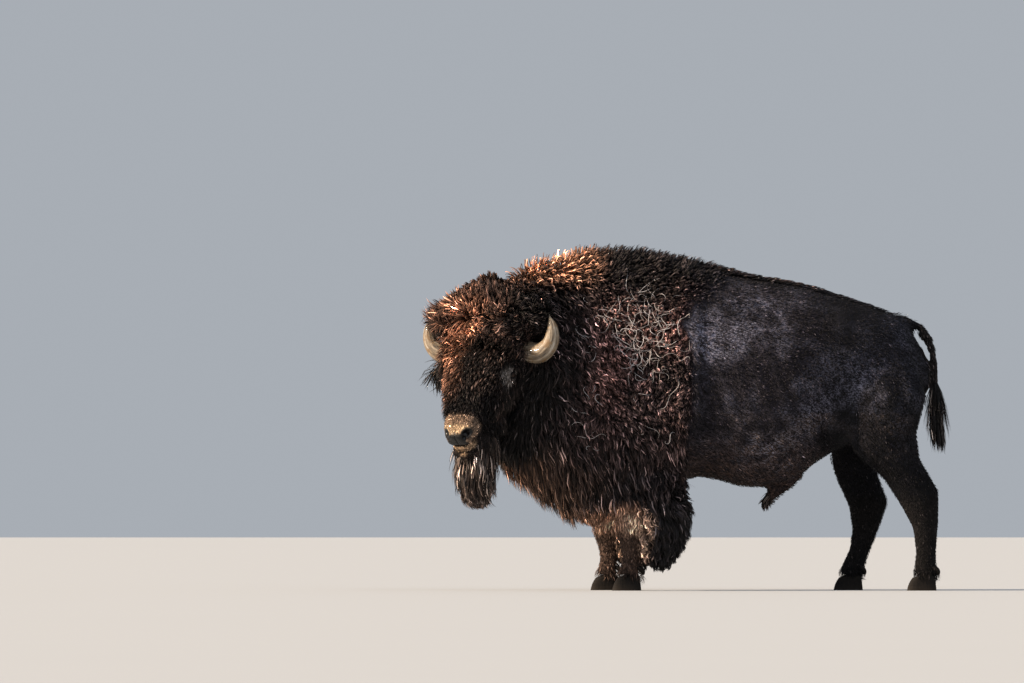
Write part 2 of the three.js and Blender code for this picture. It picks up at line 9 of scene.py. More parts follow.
import bmesh
import bpy
import numpy as np
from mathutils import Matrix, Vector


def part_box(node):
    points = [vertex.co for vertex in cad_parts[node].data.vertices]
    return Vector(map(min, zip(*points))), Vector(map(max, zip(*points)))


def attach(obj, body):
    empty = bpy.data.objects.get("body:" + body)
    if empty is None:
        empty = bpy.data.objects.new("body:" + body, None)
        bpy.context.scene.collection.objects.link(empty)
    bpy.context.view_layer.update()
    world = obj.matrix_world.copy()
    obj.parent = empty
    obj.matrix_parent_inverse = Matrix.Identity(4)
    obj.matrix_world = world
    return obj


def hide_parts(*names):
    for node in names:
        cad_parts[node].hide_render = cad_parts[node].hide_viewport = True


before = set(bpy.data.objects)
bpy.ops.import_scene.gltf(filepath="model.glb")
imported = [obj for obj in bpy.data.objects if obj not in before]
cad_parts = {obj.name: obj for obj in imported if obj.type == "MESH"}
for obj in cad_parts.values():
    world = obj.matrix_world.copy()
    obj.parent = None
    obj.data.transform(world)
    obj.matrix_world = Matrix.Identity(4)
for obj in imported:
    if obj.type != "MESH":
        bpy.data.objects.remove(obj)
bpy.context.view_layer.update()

# ---------------------------------------------------------------- small numpy helpers

UP = np.array([0.0, 0.0, 1.0])


def unit(vectors):
    """Vectors divided by their lengths."""
    return vectors / np.maximum(np.linalg.norm(vectors, axis=-1, keepdims=True), 1e-12)


def ramp(low, high, x):
    """0 at low, 1 at high, with a smooth S between them: t * t * (3 - 2 t)."""
    t = np.clip((x - low) / (high - low), 0.0, 1.0)
    return t * t * (3.0 - 2.0 * t)


def bell(*away):
    """A bell round zero: e to the minus sum of the squares."""
    return np.exp(-sum(part**2 for part in away))


def gap(points, place):
    """Each point's distance from a place."""
    return np.linalg.norm(points - place, axis=1)


def dot(a, b):
    """Row by row dot products, as a column."""
    return (a * b).sum(axis=-1, keepdims=True)


def hashed(cells, seed):
    """A number from 0 to 1 for each row of three whole numbers, by folding their bits together."""
    mask = np.int64(0xFFFFFFFF)
    h = cells[..., 0] * 73856093 ^ cells[..., 1] * 19349663 ^ cells[..., 2] * 83492791
    h = (h ^ np.int64(seed * 668265263)) & mask
    for _ in range(3):
        h = ((h ^ (h >> 16)) * 0x45D9F3B) & mask
    return (h ^ (h >> 16)) / 4294967296.0


def ripple(points, size, seed):
    """Soft noise from -1 to 1: values hashed on a lattice of that size, blended smoothly between."""
    grid = points / size
    cell = np.floor(grid).astype(np.int64)
    part = grid - cell
    part = part * part * (3.0 - 2.0 * part)
    total = np.zeros(len(points))
    for corner in np.ndindex(2, 2, 2):
        corner = np.array(corner)
        share = np.where(corner == 1, part, 1.0 - part).prod(axis=1)
        total += share * hashed(cell + corner, seed)
    return 2.0 * total - 1.0


def cells_of(points, size, seed):
    """The nearest of one scattered centre per lattice cell: its place, its cell, and the two distances."""
    home = np.floor(points / size).astype(np.int64)
    near = np.full(len(points), np.inf)
    second = near.copy()
    place = np.zeros_like(points)
    owner = np.zeros_like(home)
    for step in np.ndindex(3, 3, 3):
        cell = home + np.array(step) - 1
        jitter = np.stack([hashed(cell, seed + k) for k in range(3)], axis=1)
        centre = (cell + 0.1 + 0.8 * jitter) * size
        away = gap(points, centre)
        closer = away < near
        second = np.where(closer, near, np.minimum(second, away))
        near = np.where(closer, away, near)
        place[closer] = centre[closer]
        owner[closer] = cell[closer]
    return place, owner, near, second


def through(stops, x):
    """Straight runs between [x, value...] stops, at every x."""
    stops = np.asarray(stops, float)
    columns = [np.interp(x, stops[:, 0], stops[:, k]) for k in range(1, stops.shape[1])]
    return columns[0] if len(columns) == 1 else np.stack(columns, axis=-1)


def curve_at(points, t):
    """A smooth (Catmull-Rom) curve through the points, at t from 0 to 1."""
    points = np.asarray(points, float)
    padded = np.vstack([2 * points[0] - points[1], points, 2 * points[-1] - points[-2]])
    spot = np.clip(np.asarray(t, float), 0.0, 1.0) * (len(points) - 1)
    i = np.minimum(spot.astype(int), len(points) - 2)
    u = (spot - i)[..., None]
    a, b, c, d = padded[i], padded[i + 1], padded[i + 2], padded[i + 3]
    return 0.5 * (
        2 * b + (c - a) * u + (2 * a - 5 * b + 4 * c - d) * u**2 + (3 * b - a - 3 * c + d) * u**3
    )


# ---------------------------------------------------------------- places on the animal


def low(node):
    """The lowest corner of a CAD node's box."""
    return np.array(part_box(node)[0])


def high(node):
    """The highest corner of a CAD node's box."""
    return np.array(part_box(node)[1])


def middle(node):
    """The centre of a CAD node's box."""
    return (low(node) + high(node)) / 2


EYE_AT = {side: middle(side + "_eye") for side in ("left", "right")}
EYE_RADIUS = (high("left_eye") - low("left_eye"))[2] / 2
EYE_ALONG = 0.156
EYE_SUNK = 0.016
DROOP = math.radians(52)
LEFT = unit(EYE_AT["left"] - EYE_AT["right"])
AHEAD = np.cross(LEFT, UP)
FACE = math.cos(DROOP) * AHEAD - math.sin(DROOP) * UP
BROW = math.sin(DROOP) * AHEAD + math.cos(DROOP) * UP
HEAD_AT = (EYE_AT["left"] + EYE_AT["right"]) / 2 - EYE_ALONG * FACE + EYE_SUNK * BROW
MIDLINE = (low("left_fore_hoof_outer")[1] + high("right_fore_hoof_outer")[1]) / 2
FLANK_END = high("barrel")[0]
SHOULDER = low("forequarters")[0]
CHAP_FRONT = {side: low(side + "_chap")[0] for side in ("left", "right")}
ELBOW_UP = high("left_forearm")[2]
KNEE_UP = high("left_fore_shank")[2]
HIP_UP = low("hindquarters")[2]
NAPE = HEAD_AT + np.array([0.11, 0.068, 0.0])
NAPE_AXIS = np.array([-math.cos(math.radians(50)), -math.sin(math.radians(50)), 0.0])


def head_frame(points):
    """Distances down the face, to the head's left, and out of the forehead."""
    away = points - HEAD_AT
    return away @ FACE, away @ LEFT, away @ BROW


def from_level(rows):
    """Points from rows of ahead, to the head's left, and up."""
    rows = np.asarray(rows, float)
    return HEAD_AT + rows[:, :1] * AHEAD + rows[:, 1:2] * LEFT + rows[:, 2:3] * UP


def from_eyes(points):
    """The distance to the nearer eye's centre."""
    return np.minimum(*(gap(points, centre) for centre in EYE_AT.values()))


# ---------------------------------------------------------------- regions of the coat

# Skin depth and hair length in metres, rise as a share of the room over the skin, droop, curl and lock
# size in metres, pull and swirl as shares, then the way the hair lies and its colour.
REGIONS = {
    "crown": (0.06, 0.105, 1.12, 0.01, 0.003, 0.02, 0.5, 0.35, (-0.35, -0.65, -0.6), (0.034, 0.019, 0.015)),
    "face": (0.016, 0.036, 1.55, 0.01, 0.002, 0.018, 0.4, 0.4, tuple(FACE), (0.0058, 0.0042, 0.0042)),
    "muzzle": (0.003, 0.01, 1.1, 0.0, 0.0, 0.01, 0.2, 0.3, tuple(-FACE), (0.011, 0.0078, 0.0072)),
    "neck": (0.042, 0.066, 1.22, 0.012, 0.01, 0.024, 0.55, 0.45, (0.35, 0.0, -1.0), (0.012, 0.0076, 0.008)),
    "hump": (0.038, 0.036, 1.55, 0.0, 0.005, 0.016, 0.35, 0.6, (0.7, 0.0, -0.8), (0.027, 0.0195, 0.0195)),
    "shoulder": (0.038, 0.032, 1.28, 0.004, 0.006, 0.018, 0.4, 0.7, (0.3, 0.0, -1.0), (0.072, 0.046, 0.045)),
    "chest": (0.045, 0.086, 1.18, 0.03, 0.009, 0.026, 0.55, 0.35, (0.2, 0.0, -1.0), (0.019, 0.013, 0.013)),
    "chap": (0.04, 0.08, 0.95, 0.01, 0.008, 0.028, 0.6, 0.35, (0.3, 0.0, -1.0), (0.0085, 0.007, 0.0084)),
    "forearm": (0.012, 0.028, 1.25, 0.01, 0.004, 0.02, 0.5, 0.3, (0.1, 0.0, -1.0), (0.36, 0.205, 0.14)),
    "fore_shank": (0.006, 0.018, 1.1, 0.0, 0.001, 0.016, 0.4, 0.2, (0.05, 0.0, -1.0), (0.08, 0.05, 0.038)),
    "barrel": (0.008, 0.02, 1.0, 0.0, 0.001, 0.024, 0.35, 0.25, (0.8, 0.0, -0.55), (0.017, 0.0146, 0.0195)),
    "haunch": (0.008, 0.02, 1.0, 0.0, 0.001, 0.024, 0.35, 0.25, (0.55, 0.0, -0.8), (0.0048, 0.0047, 0.008)),
    "thigh": (0.007, 0.017, 1.0, 0.0, 0.001, 0.02, 0.35, 0.2, (0.25, 0.0, -1.0), (0.0022, 0.0022, 0.0038)),
    "hind_shank": (0.005, 0.015, 1.0, 0.0, 0.0, 0.014, 0.3, 0.2, (0.05, 0.0, -1.0), (0.006, 0.005, 0.0052)),
    "tail": (0.0, 0.04, 1.0, 0.0, 0.0, 0.014, 0.2, 0.08, (0.15, 0.0, -1.0), (0.0085, 0.0062, 0.006)),
}
PROPERTIES = ("depth", "length", "rise", "droop", "curl", "lock", "pull", "swirl")
TABLE = np.array([row[:8] for row in REGIONS.values()])
LIES = np.array([row[8] for row in REGIONS.values()])
TINTS = np.array([row[9] for row in REGIONS.values()])
EDGE = 0.03  # half the width over which one region turns into the next
# Where the long hair of the cape is rooted last, by height: a little ahead of where its tips reach.
CAPE_LINE = [
    [0.47, 0.1], [0.52, 0.01], [0.56, -0.03], [0.66, -0.012], [0.8, 0.012], [1.0, 0.034], [1.2, 0.034],
    [1.36, 0.0], [1.48, 0.03], [1.6, 0.1], [1.75, 0.12],
]


def cape_edge(points):
    """The x of the cape's last roots at each point, a little ragged."""
    ragged = 0.014 * ripple(points, 0.05, 5), 0.016 * ripple(points, 0.16, 6)
    return through(CAPE_LINE, points[:, 2]) + ragged[0] + ragged[1]


def region_shares(points, cape_end):
    """One column for each region: soft steps at the planes that part the body, times each other."""
    x, y, z = points.T
    along = head_frame(points)[0]
    head = ramp(-EDGE, EDGE, (points - NAPE) @ NAPE_AXIS) * ramp(0.62, 0.72, z)
    crown = head * ramp(-0.04, 0.1, z - HEAD_AT[2] - 0.25 * ((points - HEAD_AT) @ AHEAD) + 0.02)
    muzzle = head * (1 - crown) * ramp(0.43, 0.49, along)
    face = head - crown - muzzle
    rest = 1 - head
    side = np.where(y < MIDLINE, CHAP_FRONT["left"], CHAP_FRONT["right"])
    soft = 0.012 + 0.15 * ramp(1.36, 1.58, z)
    rear = ramp(-soft, soft, x - cape_end)
    front = rest * (1 - rear)
    leg = ramp(ELBOW_UP + 0.04, ELBOW_UP - 0.05, z) * ramp(-0.62, -0.54, x)
    chap_here = ramp(-EDGE, EDGE, x - side)
    shank = ramp(KNEE_UP + EDGE, KNEE_UP - EDGE, z)
    fore = front * leg
    chap = fore * chap_here
    forearm = fore * (1 - chap_here) * (1 - shank)
    fore_shank = fore * (1 - chap_here) * shank
    trunk = front * (1 - leg)
    necked = ramp(SHOULDER + 0.2, SHOULDER - 0.1, x + 0.08 * ripple(points, 0.13, 8)) * trunk
    chest = ramp(0.86, 0.62, z + 0.25 * np.minimum(x - SHOULDER, 0)) * trunk
    neck = necked - necked * chest / np.maximum(trunk, 1e-9)
    body = np.clip(trunk - neck - chest, 0, 1)
    humped = ramp(1.3, 1.52, z + 0.1 * x)
    hind = rest * rear
    back = ramp(FLANK_END - 0.1, FLANK_END + 0.1, x)
    low_leg = ramp(HIP_UP + 0.05, HIP_UP - 0.1, z)
    shin = ramp(0.52, 0.42, z)
    tailed = ramp(1.19, 1.21, x) * ramp(0.055, 0.045, np.abs(y - MIDLINE)) * ramp(0.95, 1.0, z)
    tail = hind * tailed
    hind = hind - tail
    return np.stack(
        [
            crown,
            face,
            muzzle,
            neck,
            body * humped,
            body * (1 - humped),
            chest,
            chap,
            forearm,
            fore_shank,
            hind * (1 - back),
            hind * back * (1 - low_leg),
            hind * back * low_leg * (1 - shin),
            hind * back * low_leg * shin,
            tail,
        ],
        axis=1,
    )


def coat_values(points, cape_end=None):
    """Every property of the coat at the points: the table's rows mixed by the regions' shares."""
    shares = region_shares(points, cape_edge(points) if cape_end is None else cape_end)
    shares = shares / np.maximum(shares.sum(axis=1, keepdims=True), 1e-9)
    mixed = shares @ TABLE
    hair = SimpleNamespace(**{name: mixed[:, k] for k, name in enumerate(PROPERTIES)})
    hair.stand = np.zeros(len(points))
    hair.fine = np.ones(len(points))
    hair.lie = shares @ LIES
    hair.shares = dict(zip(REGIONS, shares.T))
    # Hair at the cape's back edge hangs straight down.
    woolly = hair.shares["hump"] + hair.shares["shoulder"]
    hanging = ramp(-0.24, -0.04, points[:, 0]) * ramp(1.5, 1.36, points[:, 2]) * woolly
    hair.lie[:, 0] *= 1 - 0.9 * hanging
    hair.length *= 1 - 0.25 * hanging
    # Along the top of the hump it lies straight back, with no parting.
    topline = ramp(0.22, 0.05, np.abs(points[:, 1] - MIDLINE)) * ramp(1.42, 1.58, points[:, 2])
    hair.lie[:, 2] *= 1 - topline
    hair.tint, hair.dust = markings(points, shares)
    return hair


def blended(colours, other, share):
    """Colours turned towards another colour by a share."""
    share = np.clip(np.broadcast_to(share, len(colours)), 0.0, 1.0)[:, None]
    return colours * (1 - share) + np.asarray(other) * share


# Colours of single markings, in linear light.
# Bleached hair on the hump, made brighter as painted sunlight.
BLEACHED_AND_SUNLIT = (0.62, 0.3, 0.175)
# Ginger hair on the crown, made brighter as painted sunlight.
GINGER_AND_SUNLIGHT = (0.64, 0.3, 0.18)
FELTED = (0.3, 0.158, 0.142)
LOW_DUST = (0.165, 0.12, 0.1)
HIGH_DUST_AND_SHEEN = (0.132, 0.128, 0.178)
BELLY_BROWN = (0.062, 0.038, 0.03)
SPINE_BLACK = (0.004, 0.0032, 0.0034)
SPINE_BROWN = (0.042, 0.023, 0.017)
TAN_CURLS = (0.95, 0.63, 0.47)
MUZZLE_TAN = (0.29, 0.195, 0.135)
NOSE_YELLOW = (0.48, 0.34, 0.21)
LIP_TAN = (0.4, 0.27, 0.17)
NOSE_BLACK = (0.0042, 0.004, 0.0042)
EYE_DUST = (0.33, 0.3, 0.285)
LID_BLACK = (0.006, 0.005, 0.005)
TUFT_BLACK = (0.016, 0.01, 0.009)
# Size and seed of the broad, patchy, fine and tiny changes of colour.
GRAINS = ((0.22, 11), (0.07, 12), (0.025, 13), (0.011, 14))
# Where the flank is dusty and carries painted sheen: x, z and reach.
DUST_AND_SHEEN_SPOTS = ((0.33, 1.41, 0.15), (0.9, 1.0, 0.14), (0.44, 0.7, 0.13), (0.1, 1.2, 0.12))


def markings(points, shares):
    """The coat's colours, and its dust with painted sheen: the regions' own, then each marking laid over it
    by its place.
    """
    x, y, z = points.T
    along, out, up = head_frame(points)
    wide = np.abs(out)
    height = z - HEAD_AT[2]
    away = np.abs(y - MIDLINE)
    share = dict(zip(REGIONS, shares.T))
    broad, patch, fine, tiny = (ripple(points, *grain) for grain in GRAINS)
    woolly = share["hump"] + share["shoulder"]
    hind = share["barrel"] + share["haunch"] + share["thigh"]
    # Hair on the hump's front and top bleached pale and red, and brightened further as painted sunlight;
    # ginger on the crown's front, with painted sunlight on the head's side towards the key light; felted
    # wool on the shoulder.
    bleach_and_sunlight = ramp(1.5, 1.66, z) * ramp(-0.35, -0.62, x) * (share["hump"] + share["neck"])
    facing = ramp(-0.05, 0.12, (points - HEAD_AT) @ AHEAD) * (1 - 0.85 * ramp(0.14, 0.26, height))
    ginger_and_sunlight = (share["crown"] + 0.6 * share["face"]) * facing * ramp(0.42, 0.25, along)
    # Painted sunlight: the ginger is strong only on the head's right side, which faces the key light, and
    # faint on the side away from it.
    sunny = 0.04 + 0.96 * ramp(0.0, -0.11, out - 0.055 * share["crown"])
    felt = woolly * ramp(-0.62, -0.34, x) * ramp(0.7, 1.05, z) * ramp(1.6, 1.3, z)
    # Grey dust on the flank and hip in broad soft patches, with painted sheen: it is thickest where the body
    # swells, and bluish grey on the upper flank like light off the sky.
    dust = hind * np.clip(0.15 + 0.6 * broad + 0.4 * patch, 0, 1)
    dust *= ramp(0.55, 0.95, z) * (0.4 + 0.6 * ramp(1.55, 1.25, z)) * ramp(MIDLINE + 0.5, MIDLINE - 0.1, y)
    for spot_x, spot_z, reach in DUST_AND_SHEEN_SPOTS:
        swell = np.exp(-((x - spot_x) ** 2 + 1.4 * (z - spot_z) ** 2) / reach**2)
        dust += hind * swell * np.clip(0.55 + 0.6 * patch + 0.5 * fine, 0, 1.2)
    dust *= 1 - 0.62 * ramp(FLANK_END - 0.15, FLANK_END + 0.15, x)
    # Painted sheen: dust on the upper flank is bluish grey, and dust low down is brown.
    dusted_and_sheened = np.where((z < 0.9)[:, None], LOW_DUST, HIGH_DUST_AND_SHEEN)
    # A brown belly, and a brown line of longer hair along the spine, over a dark band.
    belly = 0.7 * share["barrel"] * ramp(0.82, 0.6, z) * np.clip(0.75 + 0.6 * fine + 0.9 * tiny, 0, 1.3)
    ridge = hind * ramp(1.2, 1.35, z) * ramp(1.05, 0.45, x) * (0.75 + 0.5 * patch)
    # Tan curls at the front of the chaps and on the forearms.
    tan = (share["chap"] + share["forearm"]) * ramp(0.09, 0.02, np.abs(z - 0.305) - 0.06)
    front = np.where(y < MIDLINE, CHAP_FRONT["left"], CHAP_FRONT["right"])
    tan *= ramp(0.105, 0.045, np.abs(x - front + 0.03))
    # Muzzle: tan over and beside the nostrils, a yellow ridge above them, a tan lower lip, a black nose.
    head_share = share["muzzle"] + share["face"] * ramp(0.42, 0.46, along)
    band = head_share * ramp(0.462, 0.492, along) * ramp(-0.05, -0.02, up) * ramp(0.11, 0.092, wide)
    lip = share["muzzle"] * ramp(0.52, 0.56, along) * ramp(-0.046, -0.054, up) * ramp(0.07, 0.05, wide)
    lip *= ramp(-0.094, -0.08, up)
    layers = [
        (BLEACHED_AND_SUNLIT, 0.95 * bleach_and_sunlight * (0.85 + 0.5 * patch)),
        (GINGER_AND_SUNLIGHT, ginger_and_sunlight * (0.68 + 0.45 * patch) * sunny),
        (FELTED, felt * (0.4 + 0.7 * broad + 0.3 * patch)),
        (dusted_and_sheened, 0.48 * dust * (0.62 + 0.9 * fine + 0.8 * tiny)),
        (BELLY_BROWN, belly),
        (SPINE_BLACK, 0.8 * ridge * ramp(0.15, 0.09, away)),
        (SPINE_BROWN, 0.8 * ridge * ramp(0.055, 0.01, away + 0.012 * fine)),
        (TAN_CURLS, 0.95 * tan * (0.7 + 0.6 * fine)),
        (MUZZLE_TAN, 0.9 * band * np.clip(0.7 + 0.3 * fine + 0.55 * tiny, 0, 1)),
        (NOSE_YELLOW, 0.8 * (band * ramp(0.525, 0.545, along) * ramp(0.026, 0.036, up))),
        (LIP_TAN, 0.9 * lip),
        (NOSE_BLACK, nose_pad(points)),
    ]
    # Dusty hair round the eyes, and a dark rim to the lids.
    for side, eye in EYE_AT.items():
        near = gap(points, eye + 0.015 * FACE + 0.018 * BROW)
        pale = ramp(0.068, 0.04, near) * np.clip(0.42 + 0.5 * fine + 0.75 * tiny, 0, 1)
        layers.append((EYE_DUST, 0.9 * pale))
        near = np.linalg.norm(points - eye - EYE_RADIUS * eye_axis(side), axis=1)
        layers.append((LID_BLACK, ramp(0.026, 0.019, near)))
    colours = shares @ TINTS
    for colour, cover in layers:
        colours = blended(colours, colour, cover)
    colours = colours * (1 + 0.18 * fine + 0.12 * patch)[:, None]
    return np.clip(colours, 0.002, 0.8), np.clip(dust, 0, 1)


def nostril_rings(points):
    """For each nostril: 0 at its centre, 1 on its rim."""
    along, out, up = head_frame(points)
    rings = []
    for side in (-1, 1):
        a = side * out - 0.056
        b = up - 0.022 + 0.3 * a
        rings.append(np.sqrt((a / 0.021) ** 2 + (b / 0.0145) ** 2) + 3 * ramp(0.53, 0.5, along))
    return np.minimum(*rings)


def nose_pad(points):
    """1 on the bare black nose between and inside the nostrils, 0 elsewhere."""
    along, out, up = head_frame(points)
    high_edge = 0.036 - 2.0 * out**2
    inside = ramp(-0.046, -0.04, up) * ramp(0.004, -0.004, up - high_edge) * ramp(0.06, 0.048, np.abs(out))
    return np.maximum(inside * ramp(0.535, 0.55, along), ramp(1.38, 1.08, nostril_rings(points)))


def eye_axis(side):
    """The way an eye looks: out to its side, a little ahead and up."""
    sign = 1 if side == "left" else -1
    return unit(sign * LEFT + 0.3 * FACE + 0.22 * BROW)


# ---------------------------------------------------------------- meshes


def mesh_object(name, points, face_lists, material, smooth=True, colours=None, values=None):
    """A mesh object from points and face arrays, with optional colour and number attributes."""
    mesh = bpy.data.meshes.new(name)
    mesh.vertices.add(len(points))
    mesh.vertices.foreach_set("co", np.asarray(points, np.float32).ravel())
    sizes = np.concatenate([np.full(len(f), f.shape[1]) for f in face_lists])
    corners = np.concatenate([f.ravel() for f in face_lists]).astype(np.int32)
    mesh.loops.add(len(corners))
    mesh.loops.foreach_set("vertex_index", corners)
    mesh.polygons.add(len(sizes))
    mesh.polygons.foreach_set("loop_start", (np.cumsum(sizes) - sizes).astype(np.int32))
    mesh.polygons.foreach_set("use_smooth", np.full(len(sizes), smooth))
    mesh.update(calc_edges=True)
    if colours is not None:
        layer = mesh.attributes.new("tint", "FLOAT_COLOR", "POINT")
        rgba = np.ones((len(points), 4), np.float32)
        rgba[:, :3] = colours
        layer.data.foreach_set("color", rgba.ravel())
    for key, numbers in (values or {}).items():
        numbers = np.asarray(numbers, np.float32)
        kind, field = ("FLOAT", "value") if numbers.ndim == 1 else ("FLOAT_VECTOR", "vector")
        mesh.attributes.new(key, kind, "POINT").data.foreach_set(field, numbers.ravel())
    mesh.materials.append(material)
    obj = bpy.data.objects.new(name, mesh)
    bpy.context.scene.collection.objects.link(obj)
    return obj


def bake_map(obj, corner_uv):
    """The OFBake map, from one pair of numbers for each face corner."""
    layer = obj.data.uv_layers.new(name="OFBake")
    layer.data.foreach_set("uv", np.asarray(corner_uv, np.float32).ravel())
    obj.data.uv_layers.active = layer


def corners_of(mesh):
    """The vertex number at each face corner."""
    found = np.empty(len(mesh.loops), np.int32)
    mesh.loops.foreach_get("vertex_index", found)
    return found


def points_of(mesh):
    """The mesh's points."""
    found = np.empty(len(mesh.vertices) * 3, np.float32)
    mesh.vertices.foreach_get("co", found)
    return found.reshape(-1, 3).astype(float)


def normals_at(points, triangles):
    """Area-weighted normals at the points of a triangle mesh, and the triangles' areas."""
    a, b, c = (points[triangles[:, k]] for k in range(3))
    cross = np.cross(b - a, c - a)
    total = np.zeros_like(points)
    for axis in range(3):
        for k in range(3):
            total[:, axis] += np.bincount(triangles[:, k], cross[:, axis], len(points))
    return unit(total), np.linalg.norm(cross, axis=1) / 2


def edges_of(triangles):
    """Each edge of a triangle mesh once."""
    pairs = np.concatenate([triangles[:, [0, 1]], triangles[:, [1, 2]], triangles[:, [2, 0]]])
    return np.unique(np.sort(pairs, axis=1), axis=0)


def relaxed(values, edges, rounds):
    """Each value moved half way towards the mean of its neighbours, several times."""
    flat = values.reshape(len(values), -1)
    a, b = edges.T
    count = np.bincount(edges.ravel(), minlength=len(flat))[:, None]
    for _ in range(rounds):
        total = np.stack(
            [
                np.bincount(a, column[b], len(flat)) + np.bincount(b, column[a], len(flat))
                for column in flat.T
            ],
            axis=1,
        )
        flat = flat + 0.5 * (total / count - flat)
    return flat.reshape(values.shape)


def grid_faces(rows, around):
    """Quads of a grid of points, row by row; the rows close round on themselves."""
    r, k = np.meshgrid(np.arange(rows - 1), np.arange(around), indexing="ij")
    a = (r * around + k).ravel()
    b = (r * around + (k + 1) % around).ravel()
    return np.stack([a, b, b + around, a + around], axis=1)


def end_caps(rows, around):
    """Triangles that close both ends of a grid of rings, on the two points that follow it."""
    k = np.arange(around)
    after = (k + 1) % around
    start = np.full(around, rows * around)
    last = (rows - 1) * around
    return np.concatenate(
        [np.stack([after, k, start], axis=1), np.stack([last + k, last + after, start + 1], axis=1)]
    )


def tube(path, side, up, half, rise, around):
    """Rings of an oval carried along a path: centre + cos t * half * side + sin t * rise * up."""
    t = np.linspace(0, 2 * np.pi, around, endpoint=False)
    c = np.cos(t)[None, :, None]
    s = np.sin(t)[None, :, None]
    rings = path[:, None] + c * half[:, None, None] * side[:, None] + s * rise[:, None, None] * up[:, None]
    points = np.concatenate([rings.reshape(-1, 3), path[:1], path[-1:]])
    rows = len(path)
    return points, [grid_faces(rows, around), end_caps(rows, around)]


# ---------------------------------------------------------------- shader maths


class Wire:
    """A number, colour or vector in a shader; + - * on it add Math nodes."""

    def __init__(self, sheet, socket):
        self.sheet = sheet
        self.socket = socket

    def _maths(self, operation, first, second):
        return self.sheet.node("ShaderNodeMath", {"operation": operation}, [first, second])

    def __add__(self, other):
        return self._maths("ADD", self, other)

    def __radd__(self, other):
        return self._maths("ADD", other, self)

    def __sub__(self, other):
        return self._maths("SUBTRACT", self, other)

    def __rsub__(self, other):
        return self._maths("SUBTRACT", other, self)

    def __mul__(self, other):
        return self._maths("MULTIPLY", self, other)

    def __rmul__(self, other):
        return self._maths("MULTIPLY", other, self)


class Sheet:
    """A new material and the nodes on it."""

    def __init__(self, name):
        self.material = bpy.data.materials.new(name)
        self.material.use_nodes = True
        self.tree = self.material.node_tree
        self.tree.nodes.clear()

    def node(self, kind, settings=None, inputs=None, output=0):
        """Adds a node: its settings first, then the values or wires of its sockets."""
        made = self.tree.nodes.new(kind)
        for key, value in (settings or {}).items():
            if key == "stops":
                self.set_stops(made.color_ramp, value)
            else:
                setattr(made, key, value)
        pairs = inputs.items() if isinstance(inputs, dict) else enumerate(inputs or [])
        for key, value in pairs:
            if isinstance(value, Wire):
                self.tree.links.new(value.socket, made.inputs[key])
            elif value is not None:
                made.inputs[key].default_value = value
        return Wire(self, made.outputs[output]) if len(made.outputs) else made

    def set_stops(self, strip, stops):
        """Puts a ramp's stops in place: (position, colour) pairs."""
        while len(strip.elements) < len(stops):
            strip.elements.new(0.5)
        for element, (place, colour) in zip(strip.elements, stops):
            element.position = place
            element.color = (*colour, 1.0) if isinstance(colour, tuple) else (colour,) * 3 + (1.0,)

    def attribute(self, name, output="Fac"):
        return self.node("ShaderNodeAttribute", {"attribute_name": name}, None, output)

    def place(self, scale=(1, 1, 1), turn=(0, 0, 0)):
        """Object coordinates, turned and stretched."""
        where = self.node("ShaderNodeTexCoord", None, None, "Object")
        return self.node("ShaderNodeMapping", None, {"Vector": where, "Scale": scale, "Rotation": turn})

    def noise(self, vector, scale, detail=3.0, roughness=0.55):
        inputs = {"Vector": vector, "Scale": scale, "Detail": detail, "Roughness": roughness}
        return self.node("ShaderNodeTexNoise", None, inputs, "Fac")

    def strip(self, value, stops):
        """A colour ramp."""
        return self.node("ShaderNodeValToRGB", {"stops": stops}, {"Fac": value}, "Color")

    def mix(self, share, first, second):
        """Colours mixed by a share."""
        first, second = ((*c, 1.0) if isinstance(c, tuple) else c for c in (first, second))
        inputs = {0: share, 6: first, 7: second}
        return self.node("ShaderNodeMix", {"data_type": "RGBA"}, inputs, 2)

    def scaled(self, colour, amount):
        """A colour times a number, by Vector Math."""
        inputs = {0: colour, "Scale": amount}
        return self.node("ShaderNodeVectorMath", {"operation": "SCALE"}, inputs, "Vector")

    def bump(self, height, strength, distance, normal=None):
        inputs = {"Strength": strength, "Distance": distance, "Height": height, "Normal": normal}
        return self.node("ShaderNodeBump", None, inputs, "Normal")

    def separate(self, colour):
        """The first channel of a colour, as a number."""
        return self.node("ShaderNodeSeparateColor", None, {"Color": colour}, 0)

    def finish(self, inputs):
        """The surface shader with these socket values, wired to the output."""
        surface = self.node("ShaderNodeBsdfPrincipled", None, inputs, "BSDF")
        self.node("ShaderNodeOutputMaterial", None, {"Surface": surface})
        return self.material


def coat_finish(name, contrast, gloss):
    """Hair: the tuft's own tint, dark at the root and paler at the tip, streaked finely."""
    sheet = Sheet(name)
    along = sheet.attribute("along")
    shade = sheet.attribute("shade")
    tint = sheet.attribute("tint", "Color")
    grain = sheet.noise(sheet.place((60, 60, 60)), 6.0, 3.0)
    fade = along * contrast + (1.0 - contrast * 0.75)
    amount = fade * shade * (0.72 + grain * 0.56)
    colour = sheet.scaled(tint, amount)
    return sheet.finish(
        {
            "Base Color": colour,
            "Roughness": 0.48 + grain * 0.2,
            "Specular IOR Level": gloss,
        }
    )


